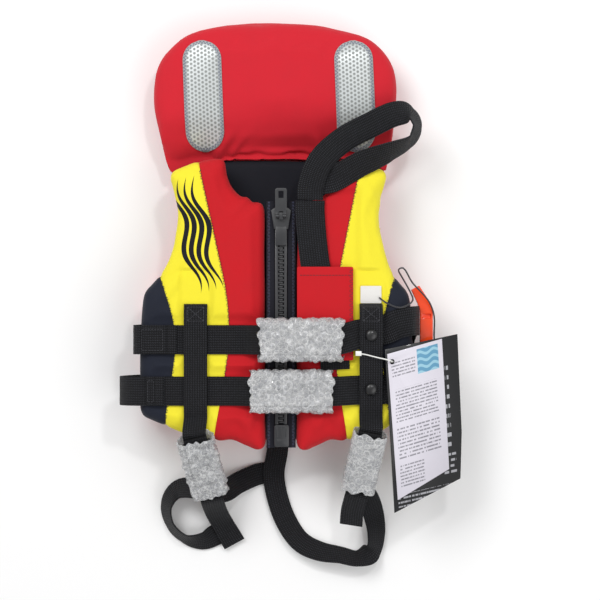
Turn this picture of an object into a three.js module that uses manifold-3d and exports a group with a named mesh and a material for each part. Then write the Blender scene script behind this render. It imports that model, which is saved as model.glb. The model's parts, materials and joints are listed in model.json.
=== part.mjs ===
// A child's life jacket, lying on its back with the zip and both belts closed. Millimetres.
// +Z is up off the floor, +Y runs from hem to head, +X is the wearer's left side.
// The origin is on the flat back, under the zip.
import * as THREE from 'three';
import { mergeVertices } from 'three/addons/utils/BufferGeometryUtils.js';
import Module from 'manifold-3d';

const wasm = await Module();
wasm.setup();

// ---- driving dimensions ----
const gap = 0.3; // between pieces that touch
const neoprene = 2; // cover sheet
const backSkin = 3.2; // back cover, thick enough for the belt channels
const liningSheet = 1.6;
const foamClearance = 0.6; // foam inside its cover
const channelInset = 1.9; // belt channel in the back's side edge
const channelTop = 13;

const backThick = 24;
const backRound = 5;
const torsoSpace = 14; // slack between back and front, where the body goes
const frontThick = 29;
const frontRound = 9;
const collarThick = 46;
const collarRound = 12;
const collarSlope = 41; // degrees, the collar's face beside its fold line

const halfWidth = 121.5; // widest, at the belts
const armholeHalf = 91;
const shoulderOuter = 97;
const shoulderInner = 49;
const rightNarrowing = 8; // the wearer's left front is pulled in by this much
const backTopY = 124.5; // the fold line between back and collar
const shoulderDrop = 13; // outer shoulder point below the fold line
const neckFrontY = 85;
const underarmY = 5;
const sideHemY = -99;
const hemY = -129;

const collarLeftX = -112;
const collarRightX = 101;
const collarTopY = 242;

const zipHalf = 12.9; // half the valley between the fronts
const tapeSheet = 1;
const toothPitch = 3.7;
const toothLength = 1.5;
const chainHalf = 5.2;
const chainThick = 4.7;
const chainTopY = 60.7;
const chainBottomY = -107;
const sliderLength = 19;
const sliderWidth = 17;
const pullLength = 24;
const pullWidth = 10;
const zipBoxLength = 19;

const beltWidth = 25;
const strapWidth = 20;
const webbing = 1.4;
const upperBeltY = -34;
const lowerBeltY = -78;
const verticalStrapLeftX = -73;
const verticalStrapRightX = 77;
const studRadius = 5.2;

const buckleThick = 9;
const barRadius = 1.4;
const beltSleeveLength = 71;
const crotchSleeveLength = 60;
const sleeveSheet = 1.2;

const pocketWidth = 48;
const pocketHeight = 80;
const pocketTopY = 28.4;
const pocketLeftX = 13.8;
const pocketSheet = 0.8;

const cordDiameter = 1.4;
const cardSheet = 0.6;
const cardHoleRadius = 2.2;

// ---- heights that follow from them ----
const frontBase = backThick + torsoSpace;
const frontTop = frontBase + frontThick;
const tapeTop = frontTop - 7.5;
const chainTop = tapeTop + 1.5;
const layer = webbing + gap; // one thickness of webbing with its clearance
const onFront = frontTop + gap + webbing / 2; // middle of webbing lying on the front
const pocketTop = frontTop + 2 * layer + pocketSheet + gap;

const left = { name: 'left', sign: -1, narrow: 0 };
const right = { name: 'right', sign: 1, narrow: rightNarrowing };

const part = new THREE.Group();

const finish = {
  red: { color: 0xb8232f, roughness: 0.85, metalness: 0 },
  yellow: { color: 0xece24a, roughness: 0.85, metalness: 0 },
  navy: { color: 0x151a26, roughness: 0.88, metalness: 0 },
  lining: { color: 0x10131c, roughness: 0.9, metalness: 0 },
  foam: { color: 0xd8d6cc, roughness: 0.95, metalness: 0 },
  webbing: { color: 0x0e0f13, roughness: 0.8, metalness: 0 },
  tape: { color: 0x14162a, roughness: 0.85, metalness: 0 },
  zip: { color: 0x2a2c2a, roughness: 0.45, metalness: 0.1 },
  buckle: { color: 0x101113, roughness: 0.4, metalness: 0 },
  reflective: { color: 0xbac2c6, roughness: 0.35, metalness: 0.3 },
  whistle: { color: 0xff4a10, roughness: 0.25, metalness: 0 },
  ribbon: { color: 0xe1deda, roughness: 0.8, metalness: 0 },
  card: { color: 0xd6d2dc, roughness: 0.6, metalness: 0 },
  blackCard: { color: 0x08090f, roughness: 0.5, metalness: 0 },
  plastic: { color: 0xf2f2f0, roughness: 0.4, metalness: 0 },
  wrap: { color: 0xd0d3d6, roughness: 0.2, metalness: 0, transparent: true, opacity: 0.6 },
};

// ---- solids and placing ----
function toSolid(geometry) {
  geometry.deleteAttribute('normal');
  geometry.deleteAttribute('uv');
  const merged = mergeVertices(geometry, 1e-4);
  const vertProperties = new Float32Array(merged.attributes.position.array);
  const triVerts = new Uint32Array(merged.index.array);
  return new wasm.Manifold(new wasm.Mesh({ numProp: 3, vertProperties, triVerts }));
}

function add(name, solid, look, parent = part) {
  const made = solid.getMesh();
  const geometry = new THREE.BufferGeometry();
  geometry.setAttribute('position', new THREE.BufferAttribute(made.vertProperties, 3));
  geometry.setIndex(new THREE.BufferAttribute(made.triVerts, 1));
  geometry.computeVertexNormals();
  const mesh = new THREE.Mesh(geometry, new THREE.MeshStandardMaterial(finish[look]));
  mesh.name = name;
  parent.add(mesh);
  return mesh;
}

function block(x0, x1, y0, y1, z0, z1) {
  const box = new THREE.BoxGeometry(x1 - x0, y1 - y0, z1 - z0);
  box.translate((x0 + x1) / 2, (y0 + y1) / 2, (z0 + z1) / 2);
  return toSolid(box);
}

const far = 400; // past every edge of the jacket

function between(low, high) {
  return block(-far, far, -far, far, low, high);
}

function slab(shape, low, high) {
  const geometry = new THREE.ExtrudeGeometry(shape, { depth: high - low, bevelEnabled: false, curveSegments: 2 });
  geometry.translate(0, 0, low);
  return toSolid(geometry);
}

// A padded form: the outline pulled in by inset, with its upper and lower edges rounded.
function pad(shape, low, high, round, inset = 0) {
  const geometry = new THREE.ExtrudeGeometry(shape, {
    depth: high - low - 2 * round,
    bevelThickness: round,
    bevelSize: round,
    bevelOffset: -round - inset,
    bevelSegments: round > 4 ? 3 : 1,
    curveSegments: 2,
  });
  geometry.translate(0, 0, low + round);
  return toSolid(geometry);
}

function curve(points, steps) {
  return new THREE.SplineCurve(points).getPoints(steps);
}

function roundedRectangle(x0, x1, y0, y1, radius) {
  const shape = new THREE.Shape();
  shape.moveTo(x0 + radius, y0);
  shape.lineTo(x1 - radius, y0);
  shape.absarc(x1 - radius, y0 + radius, radius, -Math.PI / 2, 0, false);
  shape.absarc(x1 - radius, y1 - radius, radius, 0, Math.PI / 2, false);
  shape.absarc(x0 + radius, y1 - radius, radius, Math.PI / 2, Math.PI, false);
  shape.absarc(x0 + radius, y0 + radius, radius, Math.PI, 1.5 * Math.PI, false);
  return shape;
}

// Flat webbing through rows of [x, y, z, face direction x, y, z].
function ribbon(rows, width, thick = webbing, stepsPerSpan = 3) {
  const centres = rows.map((r) => new THREE.Vector3(r[0], r[1], r[2]));
  const faces = rows.map((r) => new THREE.Vector3(r[3], r[4], r[5]));
  const path = new THREE.CatmullRomCurve3(centres, false, 'centripetal');
  const spans = rows.length - 1;
  const count = spans * stepsPerSpan;
  const positions = [];
  for (let i = 0; i <= count; i++) {
    const at = path.getPoint(i / count);
    const along = path.getTangent(i / count);
    const first = Math.min(Math.floor(i / stepsPerSpan), spans - 1);
    const face = faces[first].clone().lerp(faces[first + 1], i / stepsPerSpan - first);
    const across = new THREE.Vector3().crossVectors(along, face).setLength(width / 2);
    const up = new THREE.Vector3().crossVectors(across, along).setLength(thick / 2);
    positions.push(...at.clone().add(across).add(up).toArray());
    positions.push(...at.clone().sub(across).add(up).toArray());
    positions.push(...at.clone().sub(across).sub(up).toArray());
    positions.push(...at.clone().add(across).sub(up).toArray());
  }
  const faceList = [0, 1, 2, 0, 2, 3];
  for (let i = 0; i < count; i++) {
    for (let k = 0; k < 4; k++) {
      const a = 4 * i + k;
      const b = 4 * i + ((k + 1) % 4);
      faceList.push(a, a + 4, b + 4, a, b + 4, b);
    }
  }
  const e = 4 * count;
  faceList.push(e, e + 2, e + 1, e, e + 3, e + 2);
  const geometry = new THREE.BufferGeometry();
  geometry.setAttribute('position', new THREE.Float32BufferAttribute(positions, 3));
  geometry.setIndex(faceList);
  return toSolid(geometry);
}

function tube(points, radius, steps) {
  const path = new THREE.CatmullRomCurve3(points.map((p) => new THREE.Vector3(...p)), false, 'centripetal');
  const section = new THREE.Shape();
  section.absarc(0, 0, radius, 0, 2 * Math.PI, false);
  const geometry = new THREE.ExtrudeGeometry(section, { extrudePath: path, steps, curveSegments: 4 });
  return toSolid(geometry);
}

// ---- outlines of the body ----
function reach(x, side) {
  const share = Math.max(0, x - shoulderInner) / (halfWidth - shoulderInner);
  return side.sign * (x - side.narrow * share);
}

function at(side) {
  return (x, y) => new THREE.Vector2(reach(x, side), y);
}

// From the outer shoulder down round the armhole and the side to the lower corner.
function outerEdge(side) {
  const p = at(side);
  const armhole = curve(
    [
      p(shoulderOuter, backTopY - shoulderDrop),
      p(armholeHalf + 1, 88),
      p(armholeHalf, 70),
      p(armholeHalf + 7, 38),
      p(halfWidth - 14, underarmY + 14),
      p(halfWidth - 1.5, underarmY),
    ],
    14,
  );
  return [...armhole, p(halfWidth, underarmY - 25), p(halfWidth, sideHemY)];
}

function hemEdge(side) {
  const p = at(side);
  return curve([p(halfWidth - 13, sideHemY - 6), p(93, hemY + 17), p(60, hemY + 8), p(30, hemY + 5)], 8);
}

function frontShape(side) {
  const p = at(side);
  const neckline = curve(
    [
      p(zipHalf, neckFrontY - 1),
      p(zipHalf + 20, neckFrontY + 3.5),
      p(shoulderInner - 4, neckFrontY + 20),
      p(shoulderInner, backTopY - 1),
    ],
    8,
  );
  const shoulder = p(71.5, backTopY - 4.5);
  return new THREE.Shape([...neckline, shoulder, ...outerEdge(side), ...hemEdge(side), p(zipHalf, hemY)]);
}

function backShape() {
  const leftEdge = [at(left)(shoulderOuter - 4, backTopY), ...outerEdge(left), ...hemEdge(left)];
  const rightEdge = [at(right)(shoulderOuter - 4, backTopY), ...outerEdge(right), ...hemEdge(right)];
  return new THREE.Shape([...leftEdge, ...rightEdge.reverse()]);
}

// ---- seams between the coloured panels of a front ----
function redSeam(side, shift) {
  const p = at(side);
  const seam = [
    p(72 + shift, backTopY + 20),
    p(71 + shift, backTopY - 4),
    p(63.6 + shift, 85),
    p(55.9 + shift, 50),
    p(46 + shift, 0),
    p(45 + shift, -38),
    p(50 + shift, -75),
    p(59 + shift, hemY),
  ];
  return [...curve(seam, 14), p(-5, hemY - 30), p(-5, backTopY + 20)];
}

function navySeam(side, shift) {
  const p = at(side);
  const seam = [
    p(halfWidth - 14 + shift, underarmY + 32),
    p(halfWidth - 16 + shift, underarmY + 20),
    p(98 + shift, 3),
    p(92 + shift, -20),
    p(91 + shift, -47),
    p(98 + shift, -93),
    p(101 + shift, hemY),
  ];
  return [...curve(seam, 12), p(halfWidth + 60, hemY), p(halfWidth + 60, underarmY + 32)];
}

// ---- back ----
function makeBack() {
  const shape = backShape();
  const whole = pad(shape, 0, backThick, backRound);
  const hollow = pad(shape, backSkin, backThick - neoprene, backRound - backSkin, backSkin);
  const skin = whole.subtract(hollow);
  const split = backThick / 2;
  let cover = skin.intersect(between(-1, split));
  const half = beltWidth / 2 + 2 * gap;
  const depth = webbing + 2 * gap;
  const rightEdge = reach(halfWidth, right);
  for (const y of [upperBeltY, lowerBeltY]) {
    cover = cover.subtract(block(-far, far, y - half, y + half, -1, depth));
    cover = cover.subtract(block(-far, channelInset + 1 - halfWidth, y - half, y + half, -1, channelTop));
    cover = cover.subtract(block(rightEdge - channelInset - 1, far, y - half, y + half, -1, channelTop));
  }
  add('back_cover', cover, 'red');
  add('back_lining', skin.intersect(between(split + gap, backThick + 1)), 'lining');
  const inset = backSkin + gap;
  add('back_foam', pad(shape, inset, backThick - neoprene - gap, backRound - inset, inset), 'foam');
}

// ---- fronts ----
function makeFront(side) {
  const shape = frontShape(side);
  const floorLow = -3 * frontRound;
  const whole = pad(shape, floorLow, frontTop, frontRound);
  const hollow = pad(shape, floorLow - 10, frontTop - neoprene, frontRound - neoprene, neoprene);
  const inset = neoprene + foamClearance;
  const filling = pad(shape, floorLow - 10, frontTop - inset, frontRound - inset, inset);
  const skin = whole.subtract(hollow);
  const upperSkin = skin.intersect(between(frontBase, frontTop + 1));
  const prism = (outline) => slab(new THREE.Shape(outline), -10, frontTop + 10);

  add(`red_panel_${side.name}`, upperSkin.intersect(prism(redSeam(side, 0))), 'red');
  const yellow = upperSkin.subtract(prism(redSeam(side, gap))).subtract(prism(navySeam(side, -gap)));
  add(`yellow_panel_${side.name}`, yellow, 'yellow');

  // The side panel wraps down the side to the back, below the armhole and above the hem.
  const wallX = [reach(halfWidth - 8, side), side.sign * far].sort((a, b) => a - b);
  const wall = skin.intersect(block(...wallX, sideHemY, underarmY - 5, backThick + gap, frontBase + 1));
  add(`side_panel_${side.name}`, upperSkin.intersect(prism(navySeam(side, 0))).add(wall), 'navy');

  // The lining closes the panel underneath and drops to the back at the shoulder.
  const lining = filling.intersect(between(frontBase, frontBase + liningSheet));
  const shoulderX = [reach(shoulderInner + 6, side), reach(shoulderOuter - 8, side)].sort((a, b) => a - b);
  const shoulderY = [neckFrontY + 14, backTopY - 8];
  const shoulder = filling.intersect(block(...shoulderX, ...shoulderY, backThick + gap, frontBase + 1));
  add(`front_lining_${side.name}`, lining.add(shoulder), 'lining');
  add(`front_foam_${side.name}`, filling.intersect(between(frontBase + liningSheet + gap, frontTop)), 'foam');
}

// ---- collar ----
function collarShape() {
  const p = (x, y) => new THREE.Vector2(x, y);
  const foldY = backTopY + gap;
  const outline = curve(
    [
      p(collarLeftX + 13, foldY),
      p(collarLeftX + 1, foldY + 38),
      p(collarLeftX + 1.5, collarTopY - 45),
      p(collarLeftX + 15, collarTopY - 23),
      p(collarLeftX + 42, collarTopY - 6),
      p(0, collarTopY),
      p(collarRightX - 40, collarTopY - 8),
      p(collarRightX - 15, collarTopY - 22),
      p(collarRightX - 1.5, collarTopY - 45),
      p(collarRightX - 1, foldY + 38),
      p(collarRightX - 8, foldY),
    ],
    40,
  );
  return new THREE.Shape(outline);
}

// Everything under the collar's face, which slopes down to the lining at the fold line.
function underCollarFace(inset) {
  const slope = THREE.MathUtils.degToRad(collarSlope);
  const foldY = backTopY + gap + inset;
  const rise = collarThick + 20;
  const lift = backThick - backRound - inset / Math.cos(slope);
  const profile = new THREE.Shape([
    new THREE.Vector2(foldY, -20),
    new THREE.Vector2(collarTopY + 60, -20),
    new THREE.Vector2(collarTopY + 60, rise),
    new THREE.Vector2(foldY + (rise - lift) / Math.tan(slope), rise),
    new THREE.Vector2(foldY, lift + (inset > 0 ? inset * Math.tan(slope) : 0)),
  ]);
  const geometry = new THREE.ExtrudeGeometry(profile, { depth: 2 * far, bevelEnabled: false });
  geometry.translate(0, 0, -far);
  geometry.rotateY(Math.PI / 2);
  geometry.rotateX(Math.PI / 2);
  return toSolid(geometry);
}

function collarForm(inset) {
  const form = pad(collarShape(), inset, collarThick - inset, collarRound - inset, inset);
  return form.intersect(underCollarFace(inset));
}

function patchShape(x, lean) {
  const width = 33.5;
  const length = 95;
  const shape = roundedRectangle(-width / 2, width / 2, -length / 2, length / 2, width / 2 - 0.2);
  const options = { depth: collarThick, bevelEnabled: false, curveSegments: 4 };
  const geometry = new THREE.ExtrudeGeometry(shape, options);
  geometry.rotateZ(THREE.MathUtils.degToRad(lean));
  geometry.translate(x, collarTopY - 64.5, backThick - backRound);
  return toSolid(geometry);
}

function makeCollar() {
  const skin = collarForm(0).subtract(collarForm(neoprene));
  const split = backThick / 2;
  add('collar_back_cover', skin.intersect(between(-1, split)), 'red');
  add('collar_front_cover', skin.intersect(between(split + gap, collarThick + 1)), 'red');
  add('collar_foam', collarForm(neoprene + gap), 'foam');
  const sheet = 0.8;
  const film = collarForm(-gap - sheet).subtract(collarForm(-gap));
  add('reflective_patch_left', film.intersect(patchShape(-67.5, 2)), 'reflective');
  add('reflective_patch_right', film.intersect(patchShape(64, 2.5)), 'reflective');
}

// ---- zip ----
function makeZip() {
  const edge = zipHalf - gap;
  for (const side of [left, right]) {
    const x = [side.sign * edge, side.sign * (chainHalf + gap)].sort((a, b) => a - b);
    const tape = block(...x, hemY + 2, neckFrontY, tapeTop - tapeSheet, tapeTop);
    add(`zip_tape_${side.name}`, tape, 'tape');

    const low = chainTop - chainThick;
    add(`zip_teeth_${side.name}`, slab(combShape(side), low, chainTop), 'zip');
  }

  const boxTop = chainTop + 1;
  const box = roundedRectangle(-6, 7, chainBottomY - gap - zipBoxLength, chainBottomY - gap, 2);
  add('zip_box', slab(box, tapeTop + gap, boxTop), 'zip');
  makeSlider(boxTop);
}

// One side of the chain: a strip with teeth that reach past the middle, between the other side's.
function combShape(side) {
  const root = side.sign * 2.4;
  const tip = side.sign * -1.6;
  const half = toothLength / 2;
  const first = chainTopY - half - (side === left ? 0.5 : 0.5 + toothPitch / 2);
  const points = [new THREE.Vector2(side.sign * chainHalf, chainTopY), new THREE.Vector2(root, chainTopY)];
  for (let y = first; y - half > chainBottomY; y -= toothPitch) {
    points.push(new THREE.Vector2(root, y + half), new THREE.Vector2(tip, y + half));
    points.push(new THREE.Vector2(tip, y - half), new THREE.Vector2(root, y - half));
  }
  points.push(new THREE.Vector2(root, chainBottomY), new THREE.Vector2(side.sign * chainHalf, chainBottomY));
  return new THREE.Shape(points);
}

function makeSlider(boxTop) {
  const low = chainTopY + gap;
  const high = low + sliderLength;
  const mid = (low + high) / 2;
  const plateTop = chainTop + gap + 1.2;
  const half = sliderWidth / 2;
  const outline = new THREE.Shape([
    new THREE.Vector2(-half + 2.5, low),
    new THREE.Vector2(half - 2.5, low),
    new THREE.Vector2(half - 1, mid),
    new THREE.Vector2(half, high - 3),
    new THREE.Vector2(half - 4, high),
    new THREE.Vector2(2, high - 3),
    new THREE.Vector2(-2, high - 3),
    new THREE.Vector2(-half + 4, high),
    new THREE.Vector2(-half, high - 3),
    new THREE.Vector2(-half + 1, mid),
  ]);
  const hollowHalf = chainHalf + gap;
  let slider = slab(outline, tapeTop + gap, plateTop);
  slider = slider.subtract(block(-hollowHalf, hollowHalf, low - 1, high + 1, 0, chainTop + gap));

  // A lug on the plate carries the pull's pin.
  const pinY = mid + 1.5;
  const pinZ = plateTop + 2.2;
  const holeRadius = 1.2;
  const pinRadius = holeRadius - gap;
  const lugHalf = 1.5;
  slider = slider.add(block(-lugHalf, lugHalf, pinY - 3, pinY + 3, plateTop - 0.2, pinZ + 1.9));
  slider = slider.subtract(rodAlongX(-5, 5, pinY, pinZ, holeRadius));
  const tabTop = boxTop + gap + 0.9;
  slider = slider.add(block(-4.7, 4.7, low - 14, low + 2, boxTop + gap, Math.max(tabTop, plateTop)));
  add('zip_slider', slider, 'zip');

  // The pull: two cheeks on the pin, and a flat tab with a window at its tip.
  const cheek = 1.8;
  let pull = rodAlongX(-pullWidth / 2 + 1, pullWidth / 2 - 1, pinY, pinZ, pinRadius);
  for (const sign of [-1, 1]) {
    const x = [sign * (lugHalf + gap), sign * (pullWidth / 2 - 0.5)].sort((a, b) => a - b);
    pull = pull.add(rodAlongX(...x, pinY, pinZ, cheek));
    pull = pull.add(block(...x, pinY, pinY + 5.5, pinZ - 0.8, pinZ + 0.8));
  }
  const plate = roundedRectangle(-pullWidth / 2, pullWidth / 2, pinY + 4, pinY + pullLength, 2);
  pull = pull.add(slab(plate, pinZ - 0.8, pinZ + 0.8));
  const windowShape = [pinY + pullLength - 8.5, pinY + pullLength - 2.5, pinZ - 2, pinZ + 2];
  pull = pull.subtract(block(-2.2, 2.2, ...windowShape));
  add('zip_pull', pull, 'zip');
}

function rodAlongX(x0, x1, y, z, radius) {
  const rod = new THREE.CylinderGeometry(radius, radius, x1 - x0, 12);
  rod.rotateZ(Math.PI / 2);
  rod.translate((x0 + x1) / 2, y, z);
  return toSolid(rod);
}

// ---- side-release buckle, along +X from socket to plug, for webbing of a given width ----
function buckleFacts(width) {
  const half = width / 2 + 2.6;
  return { half, rail: width / 2 + gap, socketBar: -19, plugBar: 27, mouth: 15 };
}

function barAlongY(x, half) {
  const bar = new THREE.CylinderGeometry(barRadius, barRadius, 2 * half, 10);
  bar.translate(x, 0, 0);
  return toSolid(bar);
}

function makeBuckle(name, width, group, withProngs) {
  const b = buckleFacts(width);
  const t = buckleThick / 2;
  const slot = barRadius + 0.3 + webbing + gap + 0.9;
  const window = { low: -3.5, high: 8 };
  const cavity = b.half - 3;

  let socket = pad(roundedRectangle(b.socketBar - 2.2, b.mouth, -b.half, b.half, 3), -t, t, 1.2);
  socket = socket.subtract(block(b.socketBar - 5, b.socketBar + slot, -b.rail, b.rail, -t - 1, t + 1));
  socket = socket.subtract(block(-6, b.mouth + 1, -cavity, cavity, -3, 3));
  socket = socket.subtract(block(window.low, window.high, -b.half - 1, b.half + 1, -3, 3));
  socket = socket.add(barAlongY(b.socketBar, b.half - 0.5));
  add(`${name}_socket`, socket, 'buckle', group);

  const prongs = [];
  for (const sign of [-1, 1]) {
    const arm = [sign * (cavity - 0.5), sign * (cavity - 4)].sort((a, c) => a - c);
    const shoulder = [sign * (b.half - 0.6), sign * (cavity - 4)].sort((a, c) => a - c);
    const reachIn = withProngs ? b.mouth : b.mouth + 1;
    let prong = block(-3, reachIn, ...arm, -2.5, 2.5);
    prong = prong.add(block(-3, window.high - 0.6, ...shoulder, -2.5, 2.5));
    prongs.push(prong);
  }

  const baseX = b.mouth + gap;
  let plug = pad(roundedRectangle(baseX, b.plugBar + 2.2, -b.half, b.half, 3), -t, t, 1.2);
  plug = plug.subtract(block(b.plugBar - slot, b.plugBar + 5, -b.rail, b.rail, -t - 1, t + 1));
  plug = plug.add(barAlongY(b.plugBar, b.half - 0.5));
  plug = plug.add(block(-4, baseX + 1, -2.2, 2.2, -2.5, 2.5));
  if (withProngs) {
    add(`${name}_plug`, plug, 'buckle', group);
    add(`${name}_prong_lower`, prongs[0], 'buckle', group);
    add(`${name}_prong_upper`, prongs[1], 'buckle', group);
  } else {
    add(`${name}_plug`, plug.add(prongs[0]).add(prongs[1]), 'buckle', group);
  }
}

function makeSleeve(name, width, length, group) {
  const half = width / 2 + 2.6 + gap;
  const thick = buckleThick / 2 + gap;
  const outHalf = half + sleeveSheet;
  const outThick = thick + sleeveSheet;
  const outer = roundedRectangle(-outHalf, outHalf, -outThick, outThick, 3);
  const inner = roundedRectangle(-half, half, -thick, thick, 1);
  outer.holes.push(inner);
  const geometry = new THREE.ExtrudeGeometry(outer, { depth: length, bevelEnabled: false, curveSegments: 2 });
  geometry.translate(0, 0, -length / 2);
  geometry.rotateX(Math.PI / 2);
  geometry.rotateZ(Math.PI / 2);
  geometry.translate(4, 0, 0);
  add(name, toSolid(geometry), 'wrap', group);
}

// Rows that take webbing round a bar: in below, round the inner side, out above.
function roundBar(x, y, z, out) {
  const r = barRadius + gap + webbing / 2 + 0.25;
  return [
    [x + out * 8, y, z - r, 0, 0, -1],
    [x + out * 1, y, z - r, 0, 0, -1],
    [x - out * r * 0.75, y, z - r * 0.7, -out * 0.7, 0, -0.7],
    [x - out * r, y, z, -out, 0, 0],
    [x - out * r * 0.75, y, z + r * 0.7, -out * 0.7, 0, 0.7],
    [x + out * 1, y, z + r, 0, 0, 1],
    [x + out * 9, y, z + r, 0, 0, 1],
  ];
}

// ---- belts and their buckles ----
const whistleBeltY = -18; // where the upper belt comes up beside the whistle
const whistleTop = 49;
const beltSleeveBase = { upper: pocketTop + gap, lower: frontTop + gap };
const overRightBelt = beltSleeveBase.upper + 1.4 + layer + 0.8; // middle of the strap that crosses it

function makeBelt(name, y, rightY, buckleX, sleeveBase, looseLeft) {
  const z = sleeveBase + sleeveSheet + gap + buckleThick / 2;
  const group = new THREE.Group();
  group.position.set(buckleX, y, z);
  part.add(group);
  makeBuckle(`${name}_buckle`, beltWidth, group, true);
  makeSleeve(`${name}_sleeve`, beltWidth, beltSleeveLength, group);

  const b = buckleFacts(beltWidth);
  const l = (height) => [-1, 0, height];
  const leftX = -halfWidth - gap - webbing / 2;
  const rightX = reach(halfWidth, right) + gap + webbing / 2;
  const under = webbing / 2 + 0.25;
  const start = roundBar(buckleX + b.socketBar, y, z, -1);
  const end = roundBar(buckleX + b.plugBar, y, z, 1).reverse();
  const rows = [
    ...start,
    [buckleX - 44, y, onFront + 1, 0, 0, 1],
    [buckleX - 56, y, onFront, 0, 0, 1],
    [leftX + 14, y, onFront, 0, 0, 1],
    [leftX - looseLeft * 0.5, y, onFront - 2, ...l(1)],
    [leftX - looseLeft, y, onFront - 12, ...l(0)],
    [leftX - looseLeft * 0.6, y, frontBase, ...l(0)],
    [leftX - 0.3, y, backThick - 2, ...l(0)],
    [leftX - 0.2, y, channelTop + 2, ...l(0)],
    [leftX + 0.7, y, 9, ...l(0)],
    [leftX + channelInset, y, 5.5, ...l(0)],
    [leftX + channelInset + 0.2, y, 3, ...l(-0.3)],
    [leftX + channelInset + 1.2, y, 1.5, ...l(-1)],
    [leftX + channelInset + 3.5, y, under, 0, 0, -1],
    [leftX + 30, y, under, 0, 0, -1],
    [rightX - 30, y, under, 0, 0, -1],
    [rightX - channelInset - 3.5, y, under, 0, 0, -1],
    [rightX - channelInset - 1.2, y, 1.5, 1, 0, -1],
    [rightX - channelInset - 0.2, y, 3, 1, 0, -0.3],
    [rightX - channelInset, y, 5.5, 1, 0, 0],
    [rightX - 0.7, y, 9, 1, 0, 0],
    [rightX + 0.2, y, channelTop + 2, 1, 0, 0],
    [rightX + 0.5, y * 0.6 + rightY * 0.4, backThick + 5, 1, 0, 0],
    [rightX + 3, rightY, frontBase + 8, 1, 0, 0],
    [rightX + 4, rightY, onFront - 12, 1, 0, 0],
    [rightX - 2, rightY, onFront - 0.5, 1, 0, 1],
    [rightX - 14, y * 0.15 + rightY * 0.85, onFront + 0.8, 0, 0, 1],
    [verticalStrapRightX + 12, y * 0.45 + rightY * 0.55, onFront + 0.8, 0, 0, 1],
    [verticalStrapRightX - strapWidth / 2 - 1, y * 0.7 + rightY * 0.3, sleeveBase + 1.4, 0, 0, 1],
    ...end,
  ];
  add(`${name}_belt`, ribbon(rows, beltWidth), 'webbing');
}

// ---- crotch buckles, hanging over the hem on the vertical straps ----
const crotchPitch = THREE.MathUtils.degToRad(30);

function makeCrotchGroup(side, x, y, lean) {
  const group = new THREE.Group();
  group.position.set(x, y, frontTop - 3);
  group.rotation.set(0, crotchPitch, THREE.MathUtils.degToRad(lean - 90), 'ZYX');
  part.add(group);
  makeBuckle(`crotch_buckle_${side.name}`, strapWidth, group, false);
  makeSleeve(`crotch_sleeve_${side.name}`, strapWidth, crotchSleeveLength, group);
  group.updateMatrixWorld(true);
  const place = (u, v, w) => new THREE.Vector3(u, v, w).applyMatrix4(group.matrixWorld).toArray();
  const turn = (u, v, w) => new THREE.Vector3(u, v, w).transformDirection(group.matrixWorld).toArray();
  return (row) => [...place(row[0], row[1], row[2]), ...turn(row[3], row[4], row[5])];
}

function makeVerticalStrap(side, x, overBelt, toWorld) {
  const b = buckleFacts(strapWidth);
  const flip = (r) => [r[0], r[1], -r[2], r[3], r[4], -r[5]];
  const bar = roundBar(b.socketBar, 0, 0, -1).reverse().map(flip).map(toWorld);
  const half = beltWidth / 2 + 4;
  const rows = [
    [x, upperBeltY + beltWidth / 2 + 18, onFront, 0, 0, -1],
    [x, upperBeltY + half + 10, overBelt - 1.5, 0, 0, -1],
    [x, upperBeltY + half + 4, overBelt, 0, 0, -1],
    [x, upperBeltY - half + 4, overBelt, 0, 0, -1],
    [x, lowerBeltY - half + 2, onFront + layer + 0.5, 0, 0, -1],
    [x, lowerBeltY - half - 6, onFront + 0.6, 0, 0, -1],
    ...bar,
  ];
  add(`vertical_strap_${side.name}`, ribbon(rows, strapWidth), 'webbing');
}

function makeStud(name, x, y, base) {
  const profile = [
    [0, 0],
    [studRadius, 0],
    [studRadius, 1],
    [studRadius - 1.4, 2.4],
    [1.5, 3],
    [0, 3],
  ];
  const dome = new THREE.LatheGeometry(profile.map((p) => new THREE.Vector2(...p)), 20);
  dome.rotateX(Math.PI / 2);
  dome.translate(x, y, base);
  add(name, toSolid(dome), 'buckle');
}

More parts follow.
